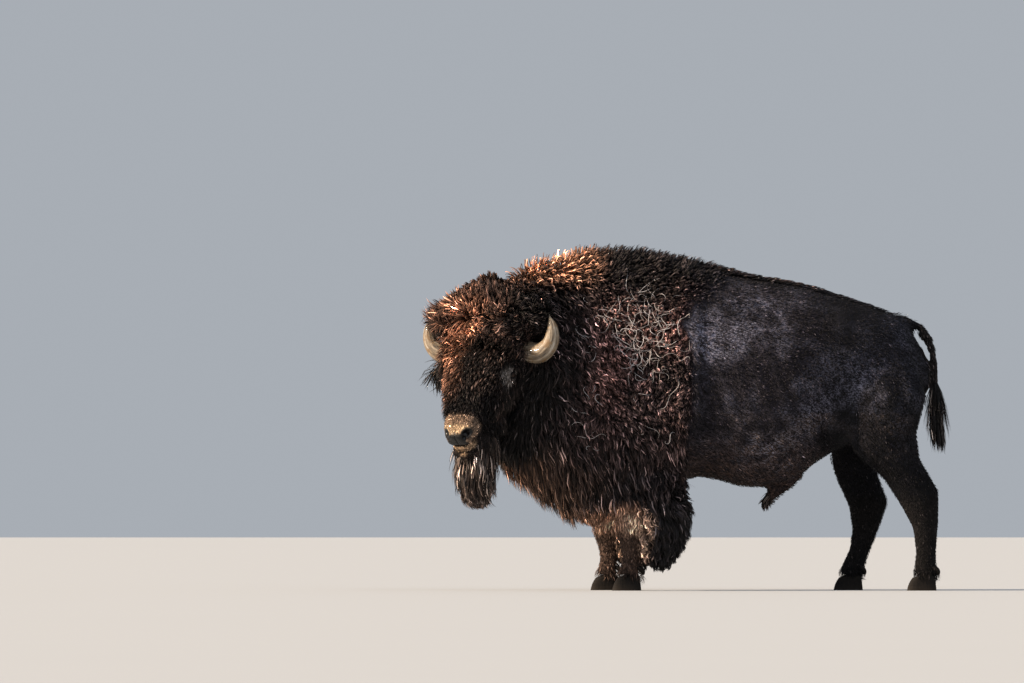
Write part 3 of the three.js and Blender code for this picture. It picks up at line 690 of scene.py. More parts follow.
def skin_finish():
    """Skin under the coat: short hair as fine streaks, painted shade under long hair, bare nose as pebbled
    leather.
    """
    sheet = Sheet("hide")
    tint = sheet.attribute("tint", "Color")
    cover = sheet.attribute("cover")
    bare = sheet.attribute("bare")
    level = sheet.attribute("level")
    streak_back = sheet.noise(sheet.place((18, 90, 90), (0, math.radians(-30), 0)), 3.0, 4.0, 0.6)
    streak_down = sheet.noise(sheet.place((95, 95, 16)), 3.0, 4.0, 0.6)
    streaks = streak_back * level + streak_down * (1.0 - level)
    speck = sheet.noise(sheet.place(), 260.0, 2.0, 0.5)
    pale = sheet.strip(speck, [(0.6, 0.0), (0.78, 1.0)])
    mottle = sheet.noise(sheet.place((70, 70, 42)), 1.0, 4.0, 0.65)
    grit = sheet.noise(sheet.place((150, 150, 110)), 1.0, 2.0, 0.6)
    scuffs = sheet.noise(sheet.place((55, 120, 170), (0, math.radians(-8), 0)), 1.3, 3.0, 0.65)
    scuffed = sheet.strip(scuffs * (grit + 0.5), [(0.47, 0.0), (0.6, 1.0)])
    rubbed = (mottle * 2.8 - 0.65) * (grit * 3.0 - 0.5) * (0.2 + streaks * 1.6)
    # Painted shade: the skin is darkened where long hair covers it.
    streaked = sheet.scaled(tint, rubbed * (1.0 - cover * 0.6))
    specked = sheet.separate(pale) * 0.1 * (1.0 - cover) * (1.0 - bare)
    dusted_and_sheened = sheet.mix(specked, streaked, (0.16, 0.15, 0.155))
    # Dust on the short hair, in a bluish grey that is partly painted sky sheen.
    dust_and_sheen_share = sheet.separate(scuffed) * sheet.attribute("dust") * 0.66
    dusted_and_sheened = sheet.mix(dust_and_sheen_share, dusted_and_sheened, (0.27, 0.27, 0.345))
    cells = {"Vector": sheet.place(), "Scale": 260.0}
    pebbles = sheet.node("ShaderNodeTexVoronoi", {"feature": "SMOOTH_F1"}, cells, "Distance")
    hair_bump = sheet.bump(streaks + mottle * 1.2, 0.65, 0.007)
    pebble_bump = sheet.bump(pebbles * bare, 0.8, 0.0026, hair_bump)
    rough = 0.78 - bare * 0.42 + streaks * 0.12
    return sheet.finish(
        {
            "Base Color": dusted_and_sheened,
            "Roughness": rough,
            "Normal": pebble_bump,
            "Coat Weight": bare * 0.3,
            "Coat Roughness": 0.22,
            "Specular IOR Level": 0.15,
        }
    )


def horn_finish():
    """Weathered horn: grey-cream, streaked along its length, darker at the root, worn at the tip."""
    sheet = Sheet("weathered_horn")
    grain = sheet.attribute("grain", "Vector")
    along = sheet.attribute("along")
    long_streak = sheet.noise(grain, 3.2, 5.0, 0.65)
    fine_streak = sheet.noise(grain, 11.0, 4.0, 0.6)
    base = sheet.strip(
        long_streak,
        [
            (0.34, (0.022, 0.018, 0.015)),
            (0.45, (0.12, 0.092, 0.062)),
            (0.56, (0.27, 0.215, 0.15)),
            (0.7, (0.46, 0.43, 0.38)),
        ],
    )
    blotch = sheet.noise(sheet.place(), 34.0, 4.0, 0.6)
    worn = sheet.strip(blotch, [(0.5, 0.0), (0.62, 0.85)])
    golden = sheet.mix(sheet.separate(worn), base, (0.17, 0.1, 0.042))
    speck = sheet.strip(sheet.noise(sheet.place(), 150.0, 3.0, 0.6), [(0.56, 0.0), (0.66, 1.0)])
    root = sheet.strip(along, [(0.0, 1.0), (0.3, 0.35), (0.6, 0.0)])
    specked = sheet.mix(sheet.separate(speck) * sheet.separate(root) * 0.8, golden, (0.02, 0.016, 0.014))
    rooted = sheet.mix(sheet.separate(root) * 0.45, specked, (0.075, 0.056, 0.044))
    streaked = sheet.scaled(rooted, 0.65 + fine_streak * 0.7)
    return sheet.finish(
        {
            "Base Color": streaked,
            "Roughness": 0.36 + fine_streak * 0.3,
            "Normal": sheet.bump(fine_streak + long_streak, 0.5, 0.002),
            "Specular IOR Level": 0.5,
            "Coat Weight": 0.12,
        }
    )


def hoof_finish():
    """Hoof horn: near black with brown, fine upright streaks, and a dusting by the sole."""
    sheet = Sheet("dark_hoof")
    upright = sheet.noise(sheet.place((85, 85, 9)), 2.0, 5.0, 0.65)
    rings = sheet.noise(sheet.place((6, 6, 55)), 2.0, 3.0)
    base = sheet.strip(upright, [(0.3, (0.003, 0.0026, 0.0024)), (0.7, (0.013, 0.01, 0.008))])
    height = sheet.node("ShaderNodeSeparateXYZ", None, {"Vector": sheet.place()}, "Z")
    dusted = sheet.node("ShaderNodeMapRange", None, {0: height, 1: 0.0, 2: 0.035, 3: 0.45, 4: 0.0})
    return sheet.finish(
        {
            "Base Color": sheet.mix(dusted * rings, base, (0.045, 0.035, 0.027)),
            "Roughness": 0.55 + upright * 0.3,
            "Specular IOR Level": 0.12,
            "Normal": sheet.bump(upright + rings * 1.5, 0.6, 0.0022),
        }
    )


def eye_finish():
    """A dark brown eye with a level pupil and a thin pale rim, under a wet, clear coat."""
    sheet = Sheet("wet_eye")
    gaze = sheet.attribute("gaze")
    flecks = sheet.noise(sheet.place(), 320.0, 3.0)
    ring = sheet.strip(
        gaze,
        [
            (0.0, (0.002, 0.002, 0.002)),
            (0.22, (0.003, 0.002, 0.002)),
            (0.28, (0.022, 0.01, 0.005)),
            (0.5, (0.013, 0.006, 0.003)),
            (0.6, (0.006, 0.005, 0.005)),
            (0.9, (0.06, 0.045, 0.038)),
        ],
    )
    return sheet.finish(
        {
            "Base Color": sheet.scaled(ring, 0.7 + flecks * 0.6),
            "Roughness": 0.3 + flecks * 0.1,
            "Specular IOR Level": 0.1,
            "Coat Weight": 0.16,
            "Coat Roughness": 0.02,
        }
    )


WOOL = coat_finish("curled_wool", 0.85, 0.25)
MANE = coat_finish("long_mane", 0.75, 0.25)
SHORT = coat_finish("short_hair", 0.5, 0.16)
HIDE = skin_finish()
HORN = horn_finish()
HOOF = hoof_finish()
EYE = eye_finish()


def settled(piece, slot, *nodes):
    """The piece on its body, in place of the CAD nodes it stands for; the slot is not used."""
    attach(piece, "root")
    if nodes:
        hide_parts(*nodes)
    return piece


# ---------------------------------------------------------------- skin

FLESH = [
    "crown", "muzzle", "head", "tail", "neck", "sheath", "scrotum", "forequarters", "barrel",
    "hindquarters",
] + [
    side + part
    for side in ("left_", "right_")
    for part in ("ear", "chap", "fore_shank", "forearm", "thigh", "gaskin", "hind_shank")
]
FILLERS = ["left_eye", "right_eye"] + [
    f"{side}_{end}_dewclaw_{place}"
    for side in ("left", "right")
    for end in ("fore", "hind")
    for place in ("outer", "inner")
]
EARS = ("left_ear", "right_ear")
VOXEL = 0.013


def node_solid(name, grow=0.001):
    """A node's merged points and triangles, each point moved out a little along its normal."""
    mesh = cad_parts[name].data
    points = points_of(mesh)
    triangles = corners_of(mesh).reshape(-1, 3)
    merged, place = np.unique(np.round(points, 6), axis=0, return_inverse=True)
    triangles = place.reshape(-1)[triangles]
    normals, _ = normals_at(merged, triangles)
    return merged + grow * normals, triangles


def ball(centre, axes, rows=14, around=20):
    """An ellipsoid: centre + each axis times a point of the unit sphere, by two angles."""
    v = np.linspace(0, np.pi, rows + 2)[1:-1]
    u = np.linspace(0, 2 * np.pi, around, endpoint=False)
    v, u = np.meshgrid(v, u, indexing="ij")
    sphere = np.stack([np.sin(v) * np.cos(u), np.sin(v) * np.sin(u), np.cos(v)], axis=-1).reshape(-1, 3)
    points = np.concatenate([sphere, [[0, 0, 1.0]], [[0, 0, -1.0]]]) @ np.asarray(axes) + centre
    return points, [grid_faces(rows, around)[:, ::-1], end_caps(rows, around)[:, [1, 0, 2]]]


def as_triangles(face_lists):
    """Quads and triangles as triangles only."""
    parts = []
    for faces in face_lists:
        parts += [faces] if faces.shape[1] == 3 else [faces[:, [0, 1, 2]], faces[:, [0, 2, 3]]]
    return np.concatenate(parts)


def turned_out(points, faces, centre, ring):
    """The faces, turned round if the normals of the first ring point at the centre."""
    normals, _ = normals_at(points, as_triangles(faces))
    inwards = (normals[:ring] * (points[:ring] - centre)).sum() < 0
    return [f[:, ::-1] for f in faces] if inwards else faces


def flesh_shell():
    """One closed surface round all the flesh: nodes joined, remeshed on a lattice, finer at the face."""
    solids = [node_solid(name) for name in FLESH + FILLERS]
    for side in (-1, 1):
        plug, faces = ball(from_level([[-0.012, side * 0.15, -0.004]])[0], np.diag([0.062, 0.062, 0.062]))
        solids.append((plug, as_triangles(faces)))
    starts = np.cumsum([0] + [len(points) for points, _ in solids])
    points = np.concatenate([points for points, _ in solids])
    triangles = np.concatenate([faces + start for (_, faces), start in zip(solids, starts)])
    rough = mesh_object("flesh_union", points, [triangles], HIDE)
    remesh = rough.modifiers.new("lattice", "REMESH")
    remesh.mode = "VOXEL"
    remesh.voxel_size = VOXEL
    graph = bpy.context.evaluated_depsgraph_get()
    made = bmesh.new()
    made.from_mesh(rough.evaluated_get(graph).to_mesh())
    bpy.data.objects.remove(rough)
    made.verts.ensure_lookup_table()
    for reach_face, reach_eye in ((0.43, 0.06), (0.5, 0.04)):
        spots = np.array([v.co for v in made.verts])
        along, out, up = head_frame(spots)
        wanted = (along > reach_face) & (along < 0.7) & (np.abs(out) < 0.14) & (np.abs(up) < 0.2)
        for centre in EYE_AT.values():
            wanted |= gap(spots, centre) < reach_eye
        edges = [e for e in made.edges if wanted[e.verts[0].index] and wanted[e.verts[1].index]]
        bmesh.ops.subdivide_edges(made, edges=edges, cuts=1, use_grid_fill=True)
        made.verts.index_update()
    bmesh.ops.triangulate(made, faces=made.faces[:])
    final = bpy.data.meshes.new("shell")
    made.to_mesh(final)
    made.free()
    points = points_of(final)
    triangles = corners_of(final).reshape(-1, 3)
    bpy.data.meshes.remove(final)
    return points, triangles


def eyelids(points):
    """Lids over each eyeball: the skin lies about 2 mm over the ball, and dips in at an almond slit."""
    for side, centre in EYE_AT.items():
        axis = eye_axis(side)
        level = FACE + 0.5 * BROW
        sideways = unit(level - (level @ axis) * axis)
        upwards = np.cross(axis, sideways)
        upwards *= np.sign(upwards @ UP)
        away = points - centre
        distance = np.linalg.norm(away, axis=1)
        look = unit(away) * EYE_RADIUS
        a = look @ sideways / 0.0195
        b = (look @ upwards - 0.0008) / 0.0082
        facing = away @ axis > 0
        slit = facing * ramp(1.25, 0.85, np.sqrt(a**2 + (b / np.maximum(1 - 0.55 * a**2, 0.15)) ** 2))
        ring = np.sqrt(a**2 + b**2)
        rim = np.exp(-((ring - 1.35) ** 2) / 0.1) - 0.45 * np.exp(-((ring - 2.05) ** 2) / 0.05)
        lid = EYE_RADIUS + 0.0024 + 0.003 * rim * ramp(-0.5, 0.3, b + 0.2)
        blend = ramp(0.04, 0.029, distance) * facing
        target = centre + unit(away) * (lid * (1 - slit) + 0.6 * EYE_RADIUS * slit)[:, None]
        points = points + blend[:, None] * (target - points)
    return points


def muzzle_details(points, normals):
    """Nostrils, the lips' line and the nose's groove, as dips and rims along the skin's normal."""
    along, out, up = head_frame(points)
    ring = nostril_rings(points)
    push = -0.024 * ramp(1.0, 0.3, ring)
    push += 0.0045 * np.exp(-((ring - 1.28) ** 2) / 0.06)
    mouth = -0.043 - 0.2 * np.abs(out) * ramp(0.02, 0.08, np.abs(out)) - 0.1 * np.clip(0.56 - along, 0, 1)
    line = bell((up - mouth) / 0.0055)
    push -= 0.01 * line * ramp(0.42, 0.48, along)
    push += 0.004 * bell((up - mouth + 0.017) / 0.01) * ramp(0.5, 0.56, along)
    push -= 0.004 * bell(out / 0.004) * ramp(0.54, 0.57, along) * ramp(-0.045, -0.02, up)
    wrinkles = 0.0025 * np.sin(along * 2 * np.pi / 0.012)
    push += wrinkles * ramp(0.47, 0.49, along) * ramp(0.53, 0.51, along) * ramp(0.0, 0.03, up)
    return points + push[:, None] * normals


def softened(points, edges):
    """The step between thigh and flank, smoothed away over a hand's width."""
    x, y, z = points.T
    place = ramp(0.66, 0.76, x) * ramp(1.08, 0.96, x) * ramp(0.74, 0.84, z) * ramp(1.4, 1.22, z)
    place *= ramp(0.1, 0.18, np.abs(y - MIDLINE))
    return points + place[:, None] * (relaxed(points, edges, 60) - points)


def body_folds(points, normals):
    """Soft relief on the short-coated half: ribs, stifle, flank hollow, hip bone, creases and tendons."""
    x, y, z = points.T
    side = ramp(0.05, 0.2, np.abs(y - MIDLINE))
    ribs = np.sin((x * 0.92 + (z - 1.0) * 0.32) * 2 * np.pi / 0.085)
    where = ramp(0.1, 0.2, x) * ramp(0.66, 0.5, x) * ramp(0.62, 0.8, z) * ramp(1.3, 1.1, z) * side
    push = 0.0026 * ribs * where
    push -= 0.018 * bell((x - 0.66) / 0.09, (z - 1.18) / 0.15) * side
    fold = (x - 0.7) + 0.45 * (z - 0.8)
    push -= 0.016 * bell(fold / 0.028) * ramp(0.62, 0.72, z) * ramp(1.1, 0.92, z) * side
    push += 0.022 * bell((x - 0.8) / 0.075, (z - 0.86) / 0.12) * side
    push += 0.012 * bell((x - 0.8) / 0.07, (z - 1.37) / 0.07)
    for offset, lean, dip in ((0.985, 0.3, 0.009), (1.105, 0.12, 0.007)):
        crease = (x - offset) + lean * (z - 0.95)
        push -= dip * bell(crease / 0.022) * ramp(0.66, 0.78, z) * ramp(1.22, 1.08, z) * side
    push += 0.0035 * ripple(points, 0.16, 61) * ramp(0.05, 0.15, x) * side
    return points + push[:, None] * normals


def make_skin():
    """The shell relaxed, sunk by the coat's depth in small steps, then given its folds and features."""
    outer, triangles = flesh_shell()
    edges = edges_of(triangles)
    outer = relaxed(outer, edges, 3)
    outer = outer + 0.0016 * normals_at(outer, triangles)[0]
    hair = coat_values(outer)
    depth = relaxed(hair.depth, edges, 4)
    for ear in EARS:
        inside = np.all((outer > low(ear) - 0.01) & (outer < high(ear) + 0.01), axis=1)
        depth = np.where(inside, 0.002, depth)
    depth = relaxed(depth * (0.1 + 0.9 * ramp(0.028, 0.085, from_eyes(outer))), edges, 3)
    skin = outer.copy()
    steps = 6
    for _ in range(steps):
        normals, _ = normals_at(skin, triangles)
        skin = skin - (depth / steps)[:, None] * normals
        soft = ramp(0.01, 0.04, depth)[:, None]
        skin = skin + soft * (relaxed(skin, edges, 2) - skin)
    normals, _ = normals_at(skin, triangles)
    skin = softened(skin, edges)
    skin = body_folds(skin, normals)
    skin = muzzle_details(skin, normals_at(skin, triangles)[0])
    skin = eyelids(skin)
    normals, areas = normals_at(skin, triangles)
    return {
        "points": skin,
        "triangles": triangles,
        "normals": normals,
        "areas": areas,
        "outer": outer,
        "room": np.clip(((outer - skin) * normals).sum(axis=1), 0.001, 0.085),
    }


SKIN = make_skin()


def skin_piece():
    """The skin as one piece, with its markings and its unwrap."""
    points = SKIN["points"]
    hair = coat_values(points)
    cover = ramp(0.01, 0.03, hair.depth)
    upright = ("thigh", "hind_shank", "fore_shank", "tail", "forearm", "chap")
    level = 1.0 - sum(hair.shares[k] for k in upright)
    piece = mesh_object(
        "skin",
        points,
        [SKIN["triangles"]],
        HIDE,
        colours=hair.tint,
        values={"cover": cover, "bare": nose_pad(points), "level": level, "dust": hair.dust},
    )
    bpy.context.view_layer.objects.active = piece
    piece.select_set(True)
    bpy.ops.object.mode_set(mode="EDIT")
    bpy.ops.mesh.select_all(action="SELECT")
    bpy.ops.uv.smart_project(angle_limit=math.radians(66), island_margin=0.0008)
    bpy.ops.object.mode_set(mode="OBJECT")
    piece.select_set(False)
    layer = piece.data.uv_layers.active
    layer.name = "OFBake"
    uv = np.empty(len(piece.data.loops) * 2, np.float32)
    layer.data.foreach_get("uv", uv)
    SKIN["uv"] = uv.reshape(-1, 3, 2)
    settled(piece, "short_coat", *FLESH, "beard", "tail_switch")


skin_piece()

# ---------------------------------------------------------------- coat

PATCH = 0.003  # each tuft's patch on the unwrap
MAT = 0.06  # the size of a mat of felted wool
CLEAR = 0.006  # hair keeps this far over the floor
SEATED = 0.004  # a tuft's root is this deep in the skin
TURN = 1.6  # radians of swirl at a swirl of 1
GUARD_TINT = (0.3, 0.26, 0.25)


def drawn_roots(weight, count, rng):
    """Roots spread over the skin by weight: even marks, each shaken, on the running total of area."""
    total = np.cumsum(SKIN["areas"] * weight)
    marks = (np.arange(count) + rng.random(count)) * total[-1] / count
    face = np.minimum(np.searchsorted(total, marks), len(total) - 1)
    a, b = rng.random((2, count))
    over = a + b > 1
    a[over], b[over] = 1 - a[over], 1 - b[over]
    mix = np.stack([1 - a - b, a, b], axis=1)
    corners = SKIN["triangles"][face]

    def at(field):
        return (SKIN[field][corners] * mix.reshape(-1, 3, *[1] * (SKIN[field].ndim - 1))).sum(axis=1)

    uv = (SKIN["uv"][face] * mix[:, :, None]).sum(axis=1)
    return at("points"), unit(at("normals")), at("room"), uv


def spindles(paths, outwards, half, thick, uv, tints, shades, name, material):
    """Tufts as closed spindles: a point at the root, rings of three, and a point at the tip."""
    count, stations, _ = paths.shape
    rings = stations - 2
    s = np.linspace(0, 1, stations)[1:-1]
    way = unit(np.gradient(paths, axis=1))[:, 1:-1]
    side = unit(np.cross(way, outwards[:, None]))
    top = np.cross(side, way)
    profile = np.sin(np.pi * np.clip(0.12 + 0.88 * s, 0, 1) ** 0.8) ** 0.8
    profile = np.maximum(profile, 0.12)[None, :, None]
    middle_points = paths[:, 1:-1]
    wide = half[:, None, None] * profile * side
    tall = thick[:, None, None] * profile * top
    ring = np.stack([middle_points + wide, middle_points + tall, middle_points - wide], axis=2)
    points = np.concatenate(
        [paths[:, :1], ring.reshape(count, rings * 3, 3), paths[:, -1:]], axis=1
    )
    per = rings * 3 + 2
    k = np.arange(3)
    after = (k + 1) % 3
    first = np.stack([np.zeros(3, int), 1 + after, 1 + k], axis=1)
    last = 1 + (rings - 1) * 3
    final = np.stack([last + k, last + after, np.full(3, per - 1)], axis=1)
    base = np.arange(count)[:, None, None] * per
    triangles = (np.concatenate([first, final])[None] + base).reshape(-1, 3)
    faces = [triangles]
    if rings > 1:
        quads = grid_faces(rings, 3) + 1
        faces.append((quads[None] + base).reshape(-1, 4))
    along = np.concatenate([[0.0], np.repeat(s, 3), [1.0]])
    across = np.concatenate([[0.0], np.tile([1.0, 0.0, -1.0], rings), [0.0]])
    flat = np.stack([across * 0.5, along - 0.5], axis=1) * PATCH
    vertex_uv = (uv[:, None] + flat[None]).reshape(-1, 2)
    piece = mesh_object(
        name,
        points.reshape(-1, 3),
        faces,
        material,
        colours=np.repeat(tints, per, axis=0),
        values={"along": np.tile(along, count), "shade": np.repeat(shades, per)},
    )
    bake_map(piece, vertex_uv[corners_of(piece.data)])
    return piece


def coat(
    name, weigh, count, rings, width, material, slot, seed, shape=None, contrast=0.72, guards=(0.12, 4.0)
):
    """A piece of coat: tufts on the skin that lie along the body and gather into locks.

    weigh says where they root, shape changes their hair values, contrast spreads their shades, and
    guards is the share of bright guard hairs and their brightness.
    """
    rng = np.random.default_rng(seed)
    centres = SKIN["points"][SKIN["triangles"]].mean(axis=1)
    chosen = coat_values(centres)
    roots, normals, room, uv = drawn_roots(np.clip(weigh(centres, chosen), 0, None), count, rng)
    hair = coat_values(roots)
    if shape:
        shape(roots, normals, hair)
    size = float(np.average(hair.lock))
    place, owner, near, second = cells_of(roots, size, seed)
    luck = [hashed(owner, seed + 20 + k) for k in range(5)]
    shaken = 0.9 * (luck[0] - 0.5), 0.5 * (rng.random(count) - 0.5)
    swirl = hair.swirl * (ripple(roots, 0.11, seed + 3) + shaken[0] + shaken[1])
    lie = hair.lie
    lie = unit(lie - dot(lie, normals) * normals)
    aside = np.cross(normals, lie)
    lie = np.cos(swirl * TURN)[:, None] * lie + np.sin(swirl * TURN)[:, None] * aside
    aside = np.cross(normals, lie)
    length = hair.length * (0.68 + 0.4 * luck[1] + 0.35 * (rng.random(count) - 0.3))
    rise = room * hair.rise * (0.66 + 0.44 * luck[2] + 0.22 * rng.random(count))
    rise += hair.stand
    # The gap between two locks, and the crack between two felted mats, is a little lower, so that the coat
    # breaks into clumps; tufts there are also painted darker, as painted shade.
    crease = ramp(0.0, 0.3, (second - near) / size)
    _, mat, mat_near, mat_second = cells_of(roots, MAT, seed + 50)
    matted = hair.shares["shoulder"] + 0.5 * hair.shares["hump"]
    crease *= 1 - 0.92 * matted * (1 - ramp(0.02, 0.28, (mat_second - mat_near) / MAT))
    matted = matted * (hashed(mat, seed + 55) - 0.5)
    rise = rise * (0.66 + 0.34 * crease) * (1 + 0.35 * matted)
    stations = rings + 2
    s = np.linspace(0, 1, stations)[None, :, None]
    gather = place - roots
    gather -= dot(gather, normals) * normals
    phase = 2 * np.pi * luck[3] + 0.8 * rng.random(count)
    turns = 0.7 + 0.9 * luck[4]
    wave = 2 * np.pi * turns[:, None, None] * s + phase[:, None, None]
    curl = hair.curl[:, None, None]
    paths = (
        roots[:, None]
        + lie[:, None] * length[:, None, None] * s
        + normals[:, None] * (rise[:, None, None] * (1 - (1 - s) ** 2.2) - SEATED * (1 - s))
        + gather[:, None] * hair.pull[:, None, None] * s**1.2
        + aside[:, None] * curl * np.sin(wave) * s
        + normals[:, None] * 0.5 * curl * np.cos(wave) * s
        - UP * hair.droop[:, None, None] * s**2
    )
    half = width * hair.fine * (0.7 + 0.6 * rng.random(count)) / 2
    shades = np.exp(contrast * rng.standard_normal(count) + 1.3 * (luck[1] - 0.5))
    guard = rng.random(count) < guards[0]
    # Painted shade: tufts in the gaps between locks and between mats are darkened.
    shades *= np.where(guard, guards[1], 0.78) * (0.24 + 0.76 * crease) * (1 + matted)
    tints = blended(hair.tint, GUARD_TINT, 0.035 * guard)
    paths[..., 2] = np.maximum(paths[..., 2], CLEAR)
    piece = spindles(paths, normals, half, half * 0.7, uv, tints, shades, name, material)
    settled(piece, slot)


def share_of(*names):
    """A weight that is the summed share of the named regions."""
    return lambda points, hair: sum(hair.shares[n] for n in names)


def on_side(weigh, sign):
    """The same weight, kept to one side of the middle plane."""
    return lambda points, hair: weigh(points, hair) * (sign * (points[:, 1] - MIDLINE) > 0)


def crown_shape(points, normals, hair):
    """The crown stands out like a brush on top, whorls below it, and is dark by the horns, with painted
    shade in the hollow inside the left horn's curve.
    """
    out = head_frame(points)[1]
    top = ramp(0.1, 0.26, points[:, 2] - HEAD_AT[2])
    brush = unit(points - HEAD_AT) + 0.75 * AHEAD + 0.1 * UP
    fall = hair.lie + 0.2 * AHEAD
    hair.lie = fall * (1 - top)[:, None] + brush * top[:, None]
    hair.length *= 0.66 - 0.14 * top
    hair.rise *= 0.82 - 0.32 * top
    height = points[:, 2] - HEAD_AT[2]
    beyond = ramp(-0.08, -0.17, out) * ramp(0.02, 0.1, height) * ramp(0.25, 0.15, height)
    hair.rise *= 1 - 0.45 * ramp(0.0, -0.12, out) * ramp(0.16, 0.26, height)
    hair.stand = 0.055 * beyond + 0.026 * top * (1 + 0.8 * ripple(points, 0.028, 72))
    hair.lie += (1.4 * beyond)[:, None] * (0.6 * AHEAD - LEFT)
    hair.length *= 1 + 0.35 * beyond
    hair.tint = blended(hair.tint, TUFT_BLACK, 0.7 * beyond)
    between = ramp(-0.01, 0.06, height) * ramp(0.24, 0.15, height)
    hair.swirl = hair.swirl * (1 - 0.3 * top) + 1.3 * between
    hair.stand += 0.024 * between * (1 - beyond) * (1 + ripple(points, 0.03, 73))
    hair.curl += 0.005 * between
    # Painted shade: hair in the hollow inside the left horn's curve is darkened.
    hollow = ramp(1.1, 0.7, np.hypot(out - 0.215, (height - 0.15) * 0.8) / 0.085)
    hair.tint = blended(hair.tint, (0.006, 0.0048, 0.0052), 0.9 * hollow)
    hair.length *= 1 + 0.25 * top - 0.25 * hollow


def face_shape(points, normals, hair):
    """The face's hair is short by the eyes and nose and long on the cheeks and jaw."""
    along, out, up = head_frame(points)
    cheek = ramp(0.0, 0.16, -up) * ramp(0.45, 0.25, along)
    eye_off = from_eyes(points)
    lid = 0.22 + 0.78 * ramp(0.034, 0.08, eye_off)
    brow = ramp(0.16, 0.04, along)
    nose = ramp(0.36, 0.47, along)
    hair.length = hair.length * lid * (0.8 + 0.9 * cheek + 0.5 * brow) * (1 - 0.55 * nose)
    hair.rise = hair.rise * lid * (1 + 0.5 * brow)
    hair.curl += 0.004 * brow
    hair.stand = 0.02 * ramp(-0.02, -0.09, out) + 0.026 * brow
    hair.fine = 0.5 + 0.5 * ramp(0.035, 0.085, eye_off) * (1 - 0.5 * nose)
    hair.lie = hair.lie * (1 - cheek)[:, None] - cheek[:, None] * (UP + 0.25 * AHEAD)


def chest_shape(points, normals, hair):
    """Hair hangs longer along the throat's keel and the breast."""
    keel = ramp(-0.2, -0.8, normals[:, 2])
    hair.length *= 1 + 0.25 * keel
    rear = ramp(-0.16, -0.02, points[:, 0]) * ramp(0.75, 0.6, points[:, 2])
    hair.length *= 1 - 0.75 * rear
    hair.droop = (hair.droop + 0.02 * keel) * (1 - rear)
    topside = ramp(0.25, 0.8, normals[:, 2]) * ramp(1.35, 1.5, points[:, 2])
    hair.length *= 1 - 0.45 * topside
    hair.stand = 0.026 * topside * ramp(-0.98, -0.82, points[:, 0])
    breast = keel * hair.shares["chest"] * ramp(-0.35, -0.6, points[:, 0])
    hair.tint = blended(hair.tint, (0.15, 0.082, 0.05), 0.6 * breast)


def flank_shape(points, normals, hair):
    """The flank's hair is longer and curlier just behind the cape and on the upper back."""
    x, _, z = points.T
    near = np.maximum(ramp(0.22, 0.04, x), ramp(1.36, 1.5, z) * ramp(0.7, 0.4, x))
    hair.length *= 1 + 0.35 * near
    hair.curl += 0.003 * near
    hair.swirl += 0.35 * near
    hair.stand = 0.002 * near


def hump_shape(points, normals, hair):
    """The hump's front stands a little higher than its back."""
    hair.stand = 0.014 * ramp(-0.3, -0.48, points[:, 0]) + 0.004 * rough_of(points)


def leg_shape(points, normals, hair):
    """Hair over the coronets is longer, and falls over the tops of the hooves."""
    low_down = ramp(0.14, 0.085, points[:, 2])
    hair.length *= 1 + 1.7 * low_down
    hair.stand = 0.01 * low_down
    hair.curl += 0.002 * low_down


def rough_of(points):
    """Patches about a hand wide, from 0 to 2, where hair stands up more or less."""
    return 1 + ripple(points, 0.09, 71)


def chap_shape(points, normals, hair):
    """The chaps' hair is shorter at the bottom, and curls at the front."""
    hair.length *= 1 - 0.55 * ramp(0.32, 0.14, points[:, 2])
    hair.droop *= ramp(0.12, 0.3, points[:, 2])
    back = ramp(0.1, 0.7, normals[:, 0])
    hair.rise *= 1 - 0.3 * back
    hair.length *= 1 - 0.2 * back
    hair.stand = 0.006 * rough_of(points)
    tan = ramp(0.03, 0.09, hair.tint[:, 0])
    hair.length *= 1 - 0.45 * tan
    hair.curl += 0.006 * tan
    hair.swirl += 0.6 * tan


HORN_ROOT = {
    side: from_level([[-0.01, sign * 0.175, 0.0]])[0] for side, sign in (("left", 1), ("right", -1))
}
# How far a horn's ruff stands, how much of it falls below the horn, its length, and how much longer it
# is over the horn. The right one stands out beyond the head.
RUFFS = {"left": (0.012, 0.7, 0.05, 0.05), "right": (0.06, 0.25, 0.1, 0.075)}


def ruff_weight(side):
    """A weight for roots round the base of a horn."""
    return lambda points, hair: ramp(0.13, 0.07, gap(points, HORN_ROOT[side]))


def ruff_shape(side):
    """Hair that reaches out along the horn and curls up, hiding its root."""
    sign = 1 if side == "left" else -1
    stand, fall, length, longer = RUFFS[side]

    def shape(points, normals, hair):
        over = ramp(-0.02, 0.04, points[:, 2] - HORN_ROOT[side][2])
        outwards = sign * 0.9 * LEFT + 0.5 * AHEAD
        hair.lie = outwards + (1.6 * over - fall)[:, None] * UP
        hair.length = length + longer * over
        hair.stand = stand + 0.016 * over
        hair.rise = np.full(len(points), 1.0)
        hair.curl = np.full(len(points), 0.008)
        hair.swirl = np.full(len(points), 0.5)
        hair.tint = blended(hair.tint, TUFT_BLACK, 0.6)

    return shape


def ear_weight(points, hair):
    """A weight for roots on the ears."""
    left, right = (np.all((points > low(ear)) & (points < high(ear)), axis=1) for ear in EARS)
    return (left | right) * 1.0


def ear_shape(points, normals, hair):
    """Ear hair runs out to the ear's tip, dark behind, with painted sunlight as a pale rim along the front
    of the right ear.
    """
    front = ramp(-0.2, 0.5, normals @ AHEAD)
    out = np.sign((points - HEAD_AT) @ LEFT)
    hair.lie = out[:, None] * LEFT - 0.3 * UP + 0.2 * AHEAD
    hair.length = 0.011 + 0.006 * front
    hair.stand = 0.002 + 0.004 * front
    hair.curl = np.full(len(points), 0.003)
    # Painted sunlight: only the right ear's front rim, which faces the key light, is pale.
    pale = 0.85 * front * ramp(0.25, -0.25, out)
    hair.tint = blended(np.tile((0.012, 0.008, 0.007), (len(points), 1)), (0.26, 0.19, 0.15), pale)


